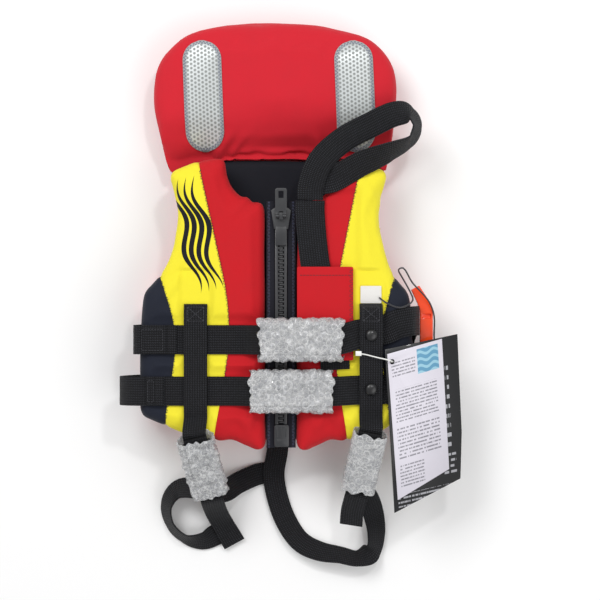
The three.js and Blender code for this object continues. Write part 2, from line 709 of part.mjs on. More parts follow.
function makeCrotchStraps(leftPlace, rightPlace) {
  const b = buckleFacts(strapWidth);
  const exit = (place, along, height) => place([b.plugBar + along, 0, height, 0, 0, 1]);
  const endOf = (place) => roundBar(b.plugBar, 0, 0, 1).slice(0, 6).reverse().map(place);
  const floor = webbing / 2 + 0.3;

  // Left: from under the centre strap to the buckle, then a slack loop out to the side.
  const leftExit = exit(leftPlace, 13, -11);
  const leftRows = [
    [-2, hemY - 24, floor, 0, 0, 1],
    [-20, hemY - 26, floor + 0.6, 0, 0, 1],
    [-38, hemY - 33, 9, 0.2, 0.3, 1],
    [leftExit[0] + 8, leftExit[1] - 1, leftExit[2] - 5, 0.3, 0.6, 1],
    [leftExit[0] - 9, leftExit[1] + 2, leftExit[2] - 7, -0.3, 0.6, 1],
    [-93, -168, 12, -0.8, 0.6, 1],
    [-102, -182, 11, -1, 0, 0.6],
    [-99, -199, 10.5, -1, -0.5, 0.5],
    [-87, -211, 10, -0.6, -1, 0.6],
    [-70, -214, 6, 0, -0.6, 1],
    [-56, -208, floor + 0.4, 0, 0, 1],
    [-46, -206, floor, 0, 0, 1],
  ];
  add('crotch_strap_left', ribbon(leftRows, strapWidth - 1, webbing, 4), 'webbing');

  const tailLeft = [
    ...endOf(leftPlace),
    leftPlace([b.plugBar + 12, 0, 1.8, 0, 0, 1]),
    [-57, -187, 24, 0, -0.7, 1],
    [-52, -199, 9, 0, -0.7, 1],
    [-42, -217, floor + 3, 0, 0, 1],
  ];
  add('crotch_tail_left', ribbon(tailLeft, strapWidth), 'webbing');

  // Right: from the hem at the centre, round in a long bend, and up to the buckle.
  const rightExit = exit(rightPlace, 11, -9);
  const rightRows = [
    [-3.3, hemY + 3.9, 7, 0, 0, 1],
    [-4, hemY - 6, 6, 0, 0, 1],
    [-7, hemY - 26, 3.4, 0, 0, 1],
    [-4, hemY - 46, 3, 0, 0, 1],
    [4, hemY - 68, 3.5, 0.1, 0, 1],
    [17, -215, 6, 0.3, 0.2, 1],
    [34, -223, 9, 0, 0.7, 1],
    [52, -226, 10.6, 0, 0.9, 0.8],
    [68, -229, 10.6, 0.3, 0.9, 0.7],
    [81, -222, 10.6, 0.9, 0.4, 0.7],
    [84, -208, 10, 0.7, 0.1, 1],
    [82, -192, 10, 0.3, 0, 1],
    [rightExit[0] + 9, rightExit[1] - 10, rightExit[2] - 16, 0, -0.5, 1],
    [rightExit[0] + 1, rightExit[1] + 1, rightExit[2] - 2, 0, -0.6, 1],
  ];
  add('crotch_strap_right', ribbon(rightRows, strapWidth - 1, webbing, 4), 'webbing');

  const tailRight = [
    ...endOf(rightPlace),
    rightPlace([b.plugBar + 12, 0, 1.8, 0, 0, 1]),
    [62, -184, 36, -0.2, -0.3, 1],
    [61, -197, 31, -0.2, -0.3, 1],
  ];
  add('crotch_tail_right', ribbon(tailRight, strapWidth), 'webbing');
}

// ---- lifting loop and its pocket ----
const loopHingeY = neckFrontY + 0.5;

function makeLiftingLoop() {
  const lower = onFront;
  const upper = onFront + layer;
  const baseX = pocketLeftX + pocketWidth - 1.2 - gap - beltWidth / 2 - 1.3;
  const baseRows = [
    [baseX, lowerBeltY + beltWidth / 2 + 2.6 + gap + sleeveSheet + 1.6, (lower + upper) / 2, 0, 0, 1],
    [baseX - 1.5, -38, (lower + upper) / 2, 0, 0, 1],
    [37, -8, (lower + upper) / 2, 0, 0, 1],
    [pocketLeftX + 2.4 + gap + beltWidth / 2, pocketTopY + 4, (lower + upper) / 2, 0, 0, 1],
    [25, loopHingeY - 12, (lower + upper) / 2, 0, 0, 1],
    [25, loopHingeY - 0.5, (lower + upper) / 2, 0, 0, 1],
  ];
  add('lifting_loop_base', ribbon(baseRows, beltWidth, layer + webbing), 'webbing');

  const loopRows = [
    [25, loopHingeY + 0.3, upper, 0, 0, 1],
    [25.5, loopHingeY + 12, upper + 1, 0, 0, 1],
    [33, loopHingeY + 32, upper + 3, 0, 0, 1],
    [52, 136, upper + 1, 0, 0, 1],
    [77, 150, upper - 3, 0.1, 0, 1],
    [99, 160, upper - 6, 0.3, 0.3, 1],
    [112, 160, upper - 8, 0.9, 0.6, 0.5],
    [117, 149, upper - 8, 1, -0.3, 0.4],
    [111, 136, upper - 6, 0.5, -0.9, 0.4],
    [92, 126, upper + 2, 0.2, -0.7, 0.7],
    [68, 116, upper + 4, 0.2, -0.3, 1],
    [44, 103, lower + 1.5, 0, 0, 1],
    [29, loopHingeY + 14, lower, 0, 0, 1],
    [25, loopHingeY + 5, lower, 0, 0, 1],
    [25, loopHingeY + 0.3, lower, 0, 0, 1],
  ];
  add('lifting_loop', ribbon(loopRows, beltWidth - 3, webbing, 4), 'webbing');
}

function makePocket() {
  const x0 = pocketLeftX;
  const x1 = x0 + pocketWidth;
  const y0 = pocketTopY - pocketHeight;
  const inner = [x0 + 1.2, x1 - 1.2, y0 - 1, pocketTopY + 1];
  const base = frontTop + gap;
  const whole = slab(roundedRectangle(x0, x1, y0, pocketTopY, 1.5), base, pocketTop);
  add('loop_pocket', whole.subtract(block(...inner, base - 1, pocketTop - pocketSheet)), 'red');
  const y = upperBeltY + beltWidth / 2 + 18 + 2 * gap;
  const x = verticalStrapRightX;
  add('ribbon_loop', slab(roundedRectangle(x - 9, x + 9, y, y + 15, 1), base, base + 1.2), 'ribbon');
}

// ---- whistle, lanyard and cards ----
const whistleInnerX = reach(halfWidth, right) + 5.7;

function makeWhistle() {
  const x = whistleInnerX;
  const bendY = whistleBeltY + beltWidth / 2 + 2.5;
  const shape = new THREE.Shape([
    new THREE.Vector2(x - 6.5, bendY + 12),
    new THREE.Vector2(x + 0.5, bendY + 15.5),
    new THREE.Vector2(x + 9.5, -1.5),
    new THREE.Vector2(x + 12.2, -9),
    new THREE.Vector2(x + 12.2, -43),
    new THREE.Vector2(x + 10, -46),
    new THREE.Vector2(x + 3, -46),
    new THREE.Vector2(x + 1, -43),
    new THREE.Vector2(x + 1, -9),
    new THREE.Vector2(x - 1, bendY),
  ]);
  let body = slab(shape, whistleTop - 10, whistleTop);
  const slot = [x + 3, x + 10.5, -16, -12, whistleTop - 3, whistleTop + 1];
  body = body.subtract(block(...slot));
  add('whistle', body, 'whistle');

  const lanyard = [
    [84, 2, frontTop + 1.5 + 2 * gap + cordDiameter / 2],
    [91, -3, frontTop + 4],
    [101, -6.5, frontTop + 5],
    [108, -4.5, frontTop + 4],
    [113, 0, frontTop - 1],
    [111, 7, 61],
    [105, 18, 60],
    [101, 26, 61],
    [105, 27.5, 60],
    [113, 15, 58],
    [121, 6.5, 57],
    [128, -2, 54],
    [132.4, -14, 50],
    [132.6, -30, 46],
    [132.6, -42, 44],
    [128.5, -50.5, 44],
    [125, -50.5, 44],
    [123.6, -46 - gap, 44],
  ];
  add('whistle_lanyard', tube(lanyard, cordDiameter / 2, 48), 'webbing');
}

const cardHole = new THREE.Vector3(halfWidth - 26.9, upperBeltY - beltWidth / 2 - 6, frontTop + 10);
const cardTilt = { across: -0.25, down: 0.06 };

function cardHeight(x, y) {
  return cardHole.z + cardTilt.across * (x - cardHole.x) + cardTilt.down * (y - cardHole.y);
}

// A card is a flat plate lying in the sloping plane through the hole.
function makeCard(name, look, corners, lift) {
  const plane = new THREE.Group();
  const normal = new THREE.Vector3(-cardTilt.across, -cardTilt.down, 1).normalize();
  plane.quaternion.setFromUnitVectors(new THREE.Vector3(0, 0, 1), normal);
  plane.position.copy(cardHole);
  part.add(plane);
  plane.updateMatrixWorld(true);
  const toPlane = plane.matrixWorld.clone().invert();
  const local = corners.map(([x, y]) => new THREE.Vector3(x, y, cardHeight(x, y)).applyMatrix4(toPlane));
  const shape = new THREE.Shape(local.map((v) => new THREE.Vector2(v.x, v.y)));
  const hole = new THREE.CylinderGeometry(cardHoleRadius, cardHoleRadius, 10, 16);
  hole.rotateX(Math.PI / 2);
  add(name, slab(shape, lift, lift + cardSheet).subtract(toSolid(hole)), look, plane);
}

function makeCards() {
  // corners measured from the hole
  const fromHole = ([x, y]) => [cardHole.x + x, cardHole.y + y];
  const white = [[-4.3, 6.5], [43, 19.4], [49.9, -92.8], [5.2, -118.6]].map(fromHole);
  const black = [[-6, 10.4], [56.8, 23.3], [61.1, -61], [60.2, -101.4], [2.6, -129.8]].map(fromHole);
  makeCard('card_white', 'card', white, gap / 2);
  makeCard('card_black', 'blackCard', black, -cardSheet - gap / 2);

  const { x, y, z } = cardHole;
  const over = overRightBelt + webbing / 2 + gap + 0.8;
  const filament = [
    [x, y, z - 3.5],
    [x, y, z],
    [x - 0.3, y + 0.5, z + 4],
    [x - 5, y + 2, z + 6],
    [x - 14, y + 4, over + 4],
    [x - 22, y + 6, over + 1],
    [x - 28, y + 7, over],
  ];
  let fastener = tube(filament, 0.6, 24);
  fastener = fastener.add(block(x - 5, x + 5, y - 0.8, y + 0.8, z - 4.6, z - 3));
  fastener = fastener.add(block(x - 31, x - 26, y + 5, y + 9, over - 0.8, over + 0.8));
  add('card_fastener', fastener, 'plastic');
}

// ---- assembly ----
makeBack();
makeFront(left);
makeFront(right);
makeCollar();
makeZip();
makeBelt('upper', upperBeltY, whistleBeltY, 13, beltSleeveBase.upper, 4);
makeBelt('lower', lowerBeltY, lowerBeltY + 3, 5, beltSleeveBase.lower, 16);
const leftPlace = makeCrotchGroup(left, -68, lowerBeltY - beltWidth / 2 - 49, 13.4);
const rightPlace = makeCrotchGroup(right, 72, lowerBeltY - beltWidth / 2 - 44.5, -11);
makeVerticalStrap(left, verticalStrapLeftX, onFront + layer + 0.5, leftPlace);
makeVerticalStrap(right, verticalStrapRightX, overRightBelt, rightPlace);
makeStud('press_stud_upper', verticalStrapRightX, upperBeltY + 4, overRightBelt + webbing / 2 + 2 * gap);
makeStud('press_stud_lower', verticalStrapRightX, lowerBeltY + 2, onFront + 2 * layer + 2.8);
makeCrotchStraps(leftPlace, rightPlace);
makeLiftingLoop();
makePocket();
makeWhistle();
makeCards();

export default part;
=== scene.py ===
# A child's life jacket lying on its back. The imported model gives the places, in metres.
# Plain numbers in the dictionaries and the strap rows are millimetres, and mm turns them into metres.
import bpy
import bmesh
import json
import math
from mathutils import Matrix, Vector, noise
from mathutils.bvhtree import BVHTree

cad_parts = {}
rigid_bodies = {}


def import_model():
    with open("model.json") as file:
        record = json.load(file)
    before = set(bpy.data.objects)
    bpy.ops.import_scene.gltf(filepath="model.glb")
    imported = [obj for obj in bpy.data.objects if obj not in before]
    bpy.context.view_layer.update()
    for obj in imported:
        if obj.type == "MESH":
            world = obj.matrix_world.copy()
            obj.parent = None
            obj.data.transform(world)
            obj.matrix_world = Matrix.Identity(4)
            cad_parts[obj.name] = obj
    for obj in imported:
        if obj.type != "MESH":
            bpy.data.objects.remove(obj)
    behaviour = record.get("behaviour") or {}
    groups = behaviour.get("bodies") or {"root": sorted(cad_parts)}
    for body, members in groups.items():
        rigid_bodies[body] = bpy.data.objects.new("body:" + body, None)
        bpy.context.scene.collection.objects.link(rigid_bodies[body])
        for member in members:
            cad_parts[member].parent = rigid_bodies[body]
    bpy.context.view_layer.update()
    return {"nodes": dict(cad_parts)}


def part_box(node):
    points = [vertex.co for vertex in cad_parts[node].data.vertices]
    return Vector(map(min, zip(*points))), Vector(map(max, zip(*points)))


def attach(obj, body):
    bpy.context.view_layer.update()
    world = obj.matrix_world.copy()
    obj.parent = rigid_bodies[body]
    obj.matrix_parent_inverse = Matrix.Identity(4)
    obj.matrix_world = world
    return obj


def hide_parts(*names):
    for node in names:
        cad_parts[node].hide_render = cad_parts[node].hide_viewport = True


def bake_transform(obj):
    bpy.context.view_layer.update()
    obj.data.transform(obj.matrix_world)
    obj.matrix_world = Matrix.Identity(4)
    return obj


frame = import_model()
mm = 0.001


def low(node):
    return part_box(node)[0]


def high(node):
    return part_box(node)[1]


frontTop = high("red_panel_left").z
frontBase = low("red_panel_left").z
backTop = high("back_lining").z
foldY = low("collar_front_cover").y
leftEdge = low("back_cover").x
rightEdge = high("back_cover").x

# what the camera takes in across the frame, in metres
view = {"width": 0.516, "centreX": 0.0163, "centreY": 0.0, "planeZ": 0.06, "distance": 1.6,
        "skyStrength": 0.55}

# each light's place, size and power; all aim at the origin
lights = {
    "key": ((-0.7, 0.9, 1.5), 0.8, 15),
    "fill": ((0.9, -0.5, 1.3), 1.2, 7),
    "glint": ((0.35, 0.7, 1.4), 0.12, 3.5),
}


def makeCamera():
    data = bpy.data.cameras.new("camera")
    data.sensor_width = 36
    data.lens = data.sensor_width * view["distance"] / view["width"]
    camera = bpy.data.objects.new("camera", data)
    camera.location = (view["centreX"], view["centreY"], view["planeZ"] + view["distance"])
    bpy.context.collection.objects.link(camera)
    bpy.context.scene.camera = camera


def makeLight(name, place, aim, size, power):
    data = bpy.data.lights.new(name, "AREA")
    data.size = size
    data.energy = power
    light = bpy.data.objects.new(name, data)
    light.location = place
    light.rotation_euler = (Vector(aim) - Vector(place)).to_track_quat("-Z", "Y").to_euler()
    bpy.context.collection.objects.link(light)


def makeStage():
    bm = bmesh.new()
    bmesh.ops.create_grid(bm, x_segments=2, y_segments=2, size=3)
    floor = meshObject("floor", bm)
    floor.location.z = -0.0004
    floor.data.materials.append(floorFinish())
    world = bpy.data.worlds.new("studio")
    world.use_nodes = True
    background = world.node_tree.nodes["Background"]
    background.inputs["Color"].default_value = (1, 1, 1, 1)
    background.inputs["Strength"].default_value = view["skyStrength"]
    bpy.context.scene.world = world
    bpy.context.scene.view_settings.view_transform = "Standard"
    for name, (place, size, power) in lights.items():
        makeLight(name, place, (0, 0, 0), size, power)


def meshObject(name, bm, smooth=True):
    mesh = bpy.data.meshes.new(name)
    bm.to_mesh(mesh)
    bm.free()
    for face in mesh.polygons:
        face.use_smooth = smooth
    piece = bpy.data.objects.new(name, mesh)
    bpy.context.collection.objects.link(piece)
    return piece


def applied(piece):
    # the evaluated mesh takes the place of the one with modifiers
    graph = bpy.context.evaluated_depsgraph_get()
    mesh = bpy.data.meshes.new_from_object(piece.evaluated_get(graph))
    piece.modifiers.clear()
    piece.data = mesh
    return piece


def nodeCopy(*nodes):
    bm = bmesh.new()
    for node in nodes:
        bm.from_mesh(frame["nodes"][node].data)
    bmesh.ops.remove_doubles(bm, verts=bm.verts, dist=0.01 * mm)
    return bm


def finishPiece(piece, body, finish, slot, *nodes):
    piece.data.materials.clear()
    piece.data.materials.append(finish)
    if body:
        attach(piece, body)
    if nodes:
        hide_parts(*nodes)
    return piece


def smoothStep(a, b, x):
    # rises from 0 at a to 1 at b
    t = min(1, max(0, (x - a) / (b - a)))
    return t * t * (3 - 2 * t)


# a shader socket that adds Math nodes when it is reckoned with
class Signal:
    def __init__(self, tree, socket):
        self.tree = tree
        self.socket = socket

    def math(self, operation, *others):
        node = self.tree.nodes.new("ShaderNodeMath")
        node.operation = operation
        for slot, value in zip(node.inputs, (self, *others)):
            if isinstance(value, Signal):
                self.tree.links.new(value.socket, slot)
            else:
                slot.default_value = value
        return Signal(self.tree, node.outputs[0])

    def __add__(self, other):
        return self.math("ADD", other)

    __radd__ = __add__

    def __mul__(self, other):
        return self.math("MULTIPLY", other)

    __rmul__ = __mul__

    def __sub__(self, other):
        return self.math("SUBTRACT", other)

    def __rsub__(self, other):
        return self * -1 + other

    def __truediv__(self, other):
        return self.math("DIVIDE", other)

    def wave(self):
        return self.math("SINE")

    def between(self, start, end):
        return self.math("GREATER_THAN", start) * self.math("LESS_THAN", end)


class Finish:
    def __init__(self, name, roughness=0.6, **fixed):
        self.material = bpy.data.materials.new(name)
        self.material.use_nodes = True
        self.tree = self.material.node_tree
        self.shader = self.tree.nodes["Principled BSDF"]
        self.shader.inputs["Roughness"].default_value = roughness
        for socket, value in fixed.items():
            self.shader.inputs[socket.replace("_", " ")].default_value = value

    def node(self, kind, settings=None, out=0, **sockets):
        node = self.tree.nodes.new(kind)
        for key, value in (settings or {}).items():
            if key == "stops":
                for element, (place, colour) in zip(node.color_ramp.elements, value):
                    element.position = place
                    element.color = colour
            else:
                setattr(node, key, value)
        for key, value in sockets.items():
            slot = node.inputs[int(key[1:])] if key[1:].isdigit() else node.inputs[key.replace("_", " ")]
            if isinstance(value, Signal):
                self.tree.links.new(value.socket, slot)
            else:
                slot.default_value = value
        return Signal(self.tree, node.outputs[out])

    def place(self, scale=1.0):
        where = self.node("ShaderNodeTexCoord", out=3)
        return self.node("ShaderNodeVectorMath", {"operation": "SCALE"}, i0=where, Scale=scale)

    def noise(self, scale, detail=2.0, rough=0.5, where=None):
        return self.node("ShaderNodeTexNoise", Vector=where or self.place(), Scale=scale, Detail=detail,
                         Roughness=rough)

    def mix(self, factor, a, b):
        return self.node("ShaderNodeMix", {"data_type": "RGBA"}, out=2, i0=factor, i6=a, i7=b)

    def split(self, vector):
        node = self.tree.nodes.new("ShaderNodeSeparateXYZ")
        self.tree.links.new(vector.socket, node.inputs[0])
        return [Signal(self.tree, output) for output in node.outputs]

    def bump(self, height, strength, distance):
        normal = self.node("ShaderNodeBump", Height=height, Strength=strength, Distance=distance)
        self.feed("Normal", normal)

    def feed(self, socket, value):
        slot = self.shader.inputs[socket]
        if isinstance(value, Signal):
            self.tree.links.new(value.socket, slot)
        else:
            slot.default_value = value


def colour(red, green, blue):
    # sRGB numbers from 0 to 255, as linear light
    def linear(c):
        c = c / 255
        return c / 12.92 if c <= 0.04045 else ((c + 0.055) / 1.055) ** 2.4
    return (linear(red), linear(green), linear(blue), 1)


def darker(shade, share):
    return (shade[0] * share, shade[1] * share, shade[2] * share, 1)


def floorFinish():
    finish = Finish("floor_paint", 0.9)
    finish.feed("Base Color", (0.93, 0.93, 0.93, 1))
    return finish.material


knit = {"pitch": 0.9 * mm, "mottle": 60.0, "bump": 0.35}


def neoprene(name, shade, variation=0.86, unfinished=False):
    finish = Finish(name, 0.82, Specular_IOR_Level=0.3, Sheen_Weight=0.04, Sheen_Roughness=0.5)
    mottle = finish.noise(knit["mottle"], 4, 0.6)
    fine = finish.noise(1400, 2, 0.6)
    x, y, z = finish.split(finish.place())
    turn = 2 * math.pi / knit["pitch"]
    loops = (x * turn + (y * turn).wave()).wave() * (y * turn * 0.7).wave()
    shadeHere = finish.mix(mottle, darker(shade, variation), shade)
    finish.feed("Base Color", finish.mix(fine * 0.35, shadeHere, darker(shade, variation * 0.8)))
    finish.feed("Roughness", mottle * 0.12 + 0.76)
    finish.bump(loops * 0.4 + fine, knit["bump"], 0.25 * mm)
    return finish if unfinished else finish.material


mark = {"x": -73.0, "y": 56.0, "lean": 13.0, "half": 50.0, "lines": (-9.0, -3.0, 3.0, 9.0)}


def printedYellow():
    # four plain waves printed down the panel
    finish = neoprene("yellow_printed", colour(246, 232, 52), 0.92, True)
    x, y, z = finish.split(finish.place(1000.0))
    lean = math.radians(mark["lean"])
    across = (x - mark["x"]) * math.cos(lean) + (y - mark["y"]) * math.sin(lean)
    along = (y - mark["y"]) * math.cos(lean) - (x - mark["x"]) * math.sin(lean)
    taper = 1 - (along / mark["half"]) * (along / mark["half"])
    ink = None
    for k, place in enumerate(mark["lines"]):
        wave = (along * 0.115 + k * 0.3).wave() * 4.0 + place
        line = (across - wave).math("ABSOLUTE").math("LESS_THAN", taper * 2.3)
        ink = line if ink is None else ink.math("MAXIMUM", line)
    ink = ink * along.between(-mark["half"], mark["half"]) * z.math("GREATER_THAN", 50.0)
    ground = Signal(finish.tree, finish.shader.inputs["Base Color"].links[0].from_socket)
    finish.feed("Base Color", finish.mix(ink, ground, colour(16, 17, 26)))
    return finish.material


# dark is the webbing's own colour; light is the painted highlight on its ribs
weave = {"rib": 1.5 * mm, "yarn": 2.1 * mm, "light": colour(66, 68, 76), "dark": colour(5, 5, 8)}


def webbingFinish(name="black_webbing"):
    # UV x runs across the strap and y along it, both in metres
    finish = Finish(name, 0.66, Specular_IOR_Level=0.28, Sheen_Weight=0.03, Sheen_Roughness=0.4)
    across, along = finish.split(finish.node("ShaderNodeUVMap"))[:2]
    turn = 2 * math.pi
    slant = (across * (turn / (2 * weave["yarn"]))).wave().math("ABSOLUTE")
    rib = (along * (turn / weave["rib"]) + slant * 2.6).wave() * 0.5 + 0.5
    groove = (across * (turn / weave["yarn"])).wave() * 0.5 + 0.5
    patchy = finish.noise(260, 3, 0.6)
    fibre = finish.noise(1500, 2, 0.6)
    # the weave in the colour: lighter on the rib tops as painted highlight, darker in the grooves as painted
    # shade; patchy makes it stronger or weaker at random
    tone = rib * rib * groove * (patchy * 0.8 + 0.35) * (fibre * 1.2 + 0.2)
    stops = [(0.08, weave["dark"]), (0.85, weave["light"])]
    ramp = finish.node("ShaderNodeValToRGB", {"stops": stops}, Fac=tone)
    finish.feed("Base Color", ramp)
    finish.feed("Roughness", rib * -0.15 + 0.72)
    finish.bump(rib * 0.7 + groove * 0.5 + fibre * 0.25, 1.0, 0.5 * mm)
    return finish.material


def plastic(name, shade, roughness, speckle=0.25):
    finish = Finish(name, roughness, Coat_Weight=0.1, Coat_Roughness=0.2)
    grain = finish.noise(900, 2, 0.6)
    scuff = finish.noise(90, 4, 0.65)
    finish.feed("Base Color", finish.mix(scuff * speckle, shade, darker(shade, 0.55)))
    finish.feed("Roughness", scuff * 0.2 + (roughness - 0.1))
    finish.bump(grain, 0.12, 0.1 * mm)
    return finish.material



def threadFinish(name, shade):
    finish = Finish(name, 0.55, Sheen_Weight=0.2)
    lay = finish.noise(1800, 2, 0.5)
    finish.feed("Base Color", finish.mix(lay, shade, darker(shade, 0.6)))
    finish.bump(lay, 0.5, 0.1 * mm)
    return finish.material


redNeoprene = neoprene("red_neoprene", colour(212, 30, 46))
# a darker copy of the red neoprene for the fronts and the pocket: painted shade on the same fabric as the
# collar and back
redShaded = neoprene("red_neoprene_front_painted_shade", colour(202, 18, 30))
yellowNeoprene = neoprene("yellow_neoprene", colour(246, 232, 52), 0.92)
yellowPrinted = printedYellow()
navyNeoprene = neoprene("navy_neoprene", colour(28, 33, 48), 0.7)
liningNeoprene = neoprene("dark_lining", colour(20, 22, 32), 0.7)
blackWebbing = webbingFinish()
blackPlastic = plastic("black_plastic", colour(34, 35, 37), 0.4)
zipPlastic = plastic("zip_plastic", colour(44, 45, 48), 0.36)
darkThread = threadFinish("dark_thread", colour(26, 28, 40))
tapeThread = threadFinish("tape_thread", colour(38, 40, 62))
redThread = threadFinish("red_thread", colour(120, 8, 20))
webThread = threadFinish("webbing_thread", colour(46, 47, 54))
patchThread = threadFinish("patch_thread", colour(96, 100, 128))


def alongCurve(points, steps):
    # centripetal curve through the points; gives each place and its direction
    ends = [points[0] * 2 - points[1], *points, points[-1] * 2 - points[-2]]
    places = []
    for k in range(len(points) - 1):
        a, b, c, d = ends[k:k + 4]
        d0, d1, d2 = [max(1e-5, (q - p).length) ** 0.5 for p, q in ((a, b), (b, c), (c, d))]
        t1 = ((b - a) / d0 - (c - a) / (d0 + d1) + (c - b) / d1) * d1
        t2 = ((c - b) / d1 - (d - b) / (d1 + d2) + (d - c) / d2) * d1
        last = 1 if k == len(points) - 2 else 0
        for i in range(steps + last):
            t = i / steps
            place = b + t1 * t + (c * 3 - b * 3 - t1 * 2 - t2) * t ** 2 + (b * 2 - c * 2 + t1 + t2) * t ** 3
            way = t1 + (c * 3 - b * 3 - t1 * 2 - t2) * 2 * t + (b * 2 - c * 2 + t1 + t2) * 3 * t ** 2
            places.append((k + t, place, way.normalized()))
    return places


def strapMesh(rows, width, steps=6, across=6, ripple=0.15 * mm, crown=0.0):
    # rows of x, y, z and the direction that the strap faces, in millimetres
    centres = [Vector(row[:3]) * mm for row in rows]
    faces = [Vector(row[3:]) for row in rows]
    places = alongCurve(centres, steps)
    bm = bmesh.new()
    bmesh.ops.create_grid(bm, x_segments=across, y_segments=len(places) - 1, size=1)
    uvs = bm.loops.layers.uv.new("weave")
    run = [0.0]
    for (_, p, _), (_, q, _) in zip(places, places[1:]):
        run.append(run[-1] + (q - p).length)
    flat = {}
    for vert in bm.verts:
        i = round((vert.co.y + 1) / 2 * (len(places) - 1))
        u = vert.co.x
        k, place, way = places[i]
        first = min(int(k), len(rows) - 2)
        face = faces[first].lerp(faces[first + 1], k - first)
        side = way.cross(face).normalized()
        up = side.cross(way).normalized()
        wave = noise.noise(Vector((u * 1.5, run[i] * 60, width * 900))) * ripple
        vert.co = place + side * (u * width / 2) + up * (wave - crown * u * u)
        flat[vert] = (u * width / 2, run[i])
    for face in bm.faces:
        for loop in face.loops:
            loop[uvs].uv = flat[loop.vert]
    return bm


def strap(name, body, rows, width, *nodes, thick=1.4 * mm, steps=6, finish=None, slot="black_webbing"):
    piece = meshObject(name, strapMesh(rows, width * mm, steps))
    wall = piece.modifiers.new("wall", "SOLIDIFY")
    wall.thickness = thick
    wall.offset = 0
    edge = piece.modifiers.new("edge", "BEVEL")
    edge.width = 0.45 * mm
    edge.segments = 2
    edge.limit_method = "ANGLE"
    edge.angle_limit = math.radians(60)
    applied(piece)
    return finishPiece(piece, body, finish or blackWebbing, slot, *nodes)


def softened(name, body, finish, slot, *nodes, width=0.4, segments=2, angle=32):
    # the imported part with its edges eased
    bm = nodeCopy(*nodes)
    bmesh.ops.dissolve_limit(bm, angle_limit=math.radians(1.5), verts=bm.verts, edges=bm.edges)
    edges = [e for e in bm.edges if len(e.link_faces) == 2 and e.calc_face_angle(0) > math.radians(angle)]
    bmesh.ops.bevel(bm, geom=edges, offset=width * mm, segments=segments, profile=0.5,
                    affect="EDGES", material=-1, clamp_overlap=True)
    bmesh.ops.triangulate(bm, faces=[f for f in bm.faces if len(f.verts) > 4])
    piece = meshObject(name, bm)
    return finishPiece(piece, body, finish, slot, *nodes)


# the one cord; its route runs from the jacket to the ring of the whistle, in millimetres
lanyard = {"diameter": 1.4 * mm, "length": 0.172, "shade": colour(20, 20, 24)}
lanyardRoute = [(84, 2, 69.8), (91, -3, 71), (101, -6.5, 72), (108, -4.5, 71), (113, 0, 66), (111, 7, 61),
                (105, 18, 60), (101, 26, 61), (105, 27.5, 60), (113, 15, 58), (121, 6.5, 57), (128, -2, 54),
                (132.4, -14, 50), (132.6, -30, 46), (132.6, -42, 44), (128.5, -50.5, 44),
                (125, -50.5, 44), (123.6, -46.3, 44)]


def makeLanyard():
    route = [place for _, place, _ in alongCurve([Vector(p) * mm for p in lanyardRoute], 4)]
    cord = bpy.data.curves.new("whistle_lanyard", "CURVE")
    cord.dimensions = "3D"
    cord.bevel_depth = lanyard["diameter"] / 2
    cord.bevel_resolution = 3
    spline = cord.splines.new("POLY")
    spline.points.add(len(route) - 1)
    for point, place in zip(spline.points, route):
        point.co = (*place, 1)
    piece = bpy.data.objects.new("lanyard", cord)
    bpy.context.collection.objects.link(piece)
    finish = Finish("lanyard_braid", 0.5, Sheen_Weight=0.2)
    x, y, z = finish.split(finish.place())
    braid = ((x + y) * 5200).wave() * ((x - y) * 5200).wave()
    finish.feed("Base Color", finish.mix(braid * 0.5 + 0.5, lanyard["shade"], colour(58, 58, 64)))
    finish.bump(braid, 0.5, 0.15 * mm)
    finishPiece(piece, "jacket", finish.material, "lanyard_cord", "whistle_lanyard")


puff = {"voxel": 4.2 * mm, "frames": 16, "inwardKept": 0.25}


def largestShell(bm):
    # drops the hollow inner skins that a remesh of nested solids leaves
    left = set(bm.verts)
    shells = []
    while left:
        stack = [left.pop()]
        shell = set(stack)
        while stack:
            for edge in stack.pop().link_edges:
                for vert in edge.verts:
                    if vert in left:
                        left.remove(vert)
                        shell.add(vert)
                        stack.append(vert)
        shells.append(shell)
    shells.sort(key=len)
    bmesh.ops.delete(bm, geom=[v for shell in shells[:-1] for v in shell], context="VERTS")


def skinOf(name, *nodes):
    piece = meshObject(name, nodeCopy(*nodes))
    remesh = piece.modifiers.new("skin", "REMESH")
    remesh.mode = "VOXEL"
    remesh.voxel_size = puff["voxel"]
    remesh.adaptivity = 0
    applied(piece)
    bm = bmesh.new()
    bm.from_mesh(piece.data)
    largestShell(bm)
    bmesh.ops.smooth_vert(bm, verts=bm.verts, factor=0.5, use_axis_x=True, use_axis_y=True, use_axis_z=True)
    bm.to_mesh(piece.data)
    bm.free()
    return piece


def puffUp(piece, cap, pressure):
    start = [(v.co.copy(), v.normal.copy()) for v in piece.data.vertices]
    cloth = piece.modifiers.new("air", "CLOTH")
    cloth.settings.quality = 4
    cloth.settings.mass = 0.4
    cloth.settings.tension_stiffness = 12
    cloth.settings.compression_stiffness = 12
    cloth.settings.bending_stiffness = 2
    cloth.settings.use_pressure = True
    cloth.settings.uniform_pressure_force = pressure
    cloth.settings.effector_weights.gravity = 0
    cloth.collision_settings.use_collision = False
    scene = bpy.context.scene
    for frameNumber in range(1, puff["frames"] + 1):
        scene.frame_set(frameNumber)
    applied(piece)
    for vert, (was, out) in zip(piece.data.vertices, start):
        move = vert.co - was
        inward = min(0.0, move.dot(out))
        move -= out * inward * (1 - puff["inwardKept"])  # the foam keeps the edges out
        if move.length > cap:
            move *= cap / move.length
        vert.co = was + move
    scene.frame_set(1)


def refine(piece, levels=1):
    smooth = piece.modifiers.new("smooth", "SUBSURF")
    smooth.levels = levels
    smooth.render_levels = levels
    applied(piece)


def shapeSkin(piece, move):
    # move takes a place and its normal and gives the new place
    bm = bmesh.new()
    bm.from_mesh(piece.data)
    bm.normal_update()
    places = [move(v.co.copy(), v.normal.copy()) for v in bm.verts]
    for vert, place in zip(bm.verts, places):
        vert.co = place
    bm.to_mesh(piece.data)
    bm.free()


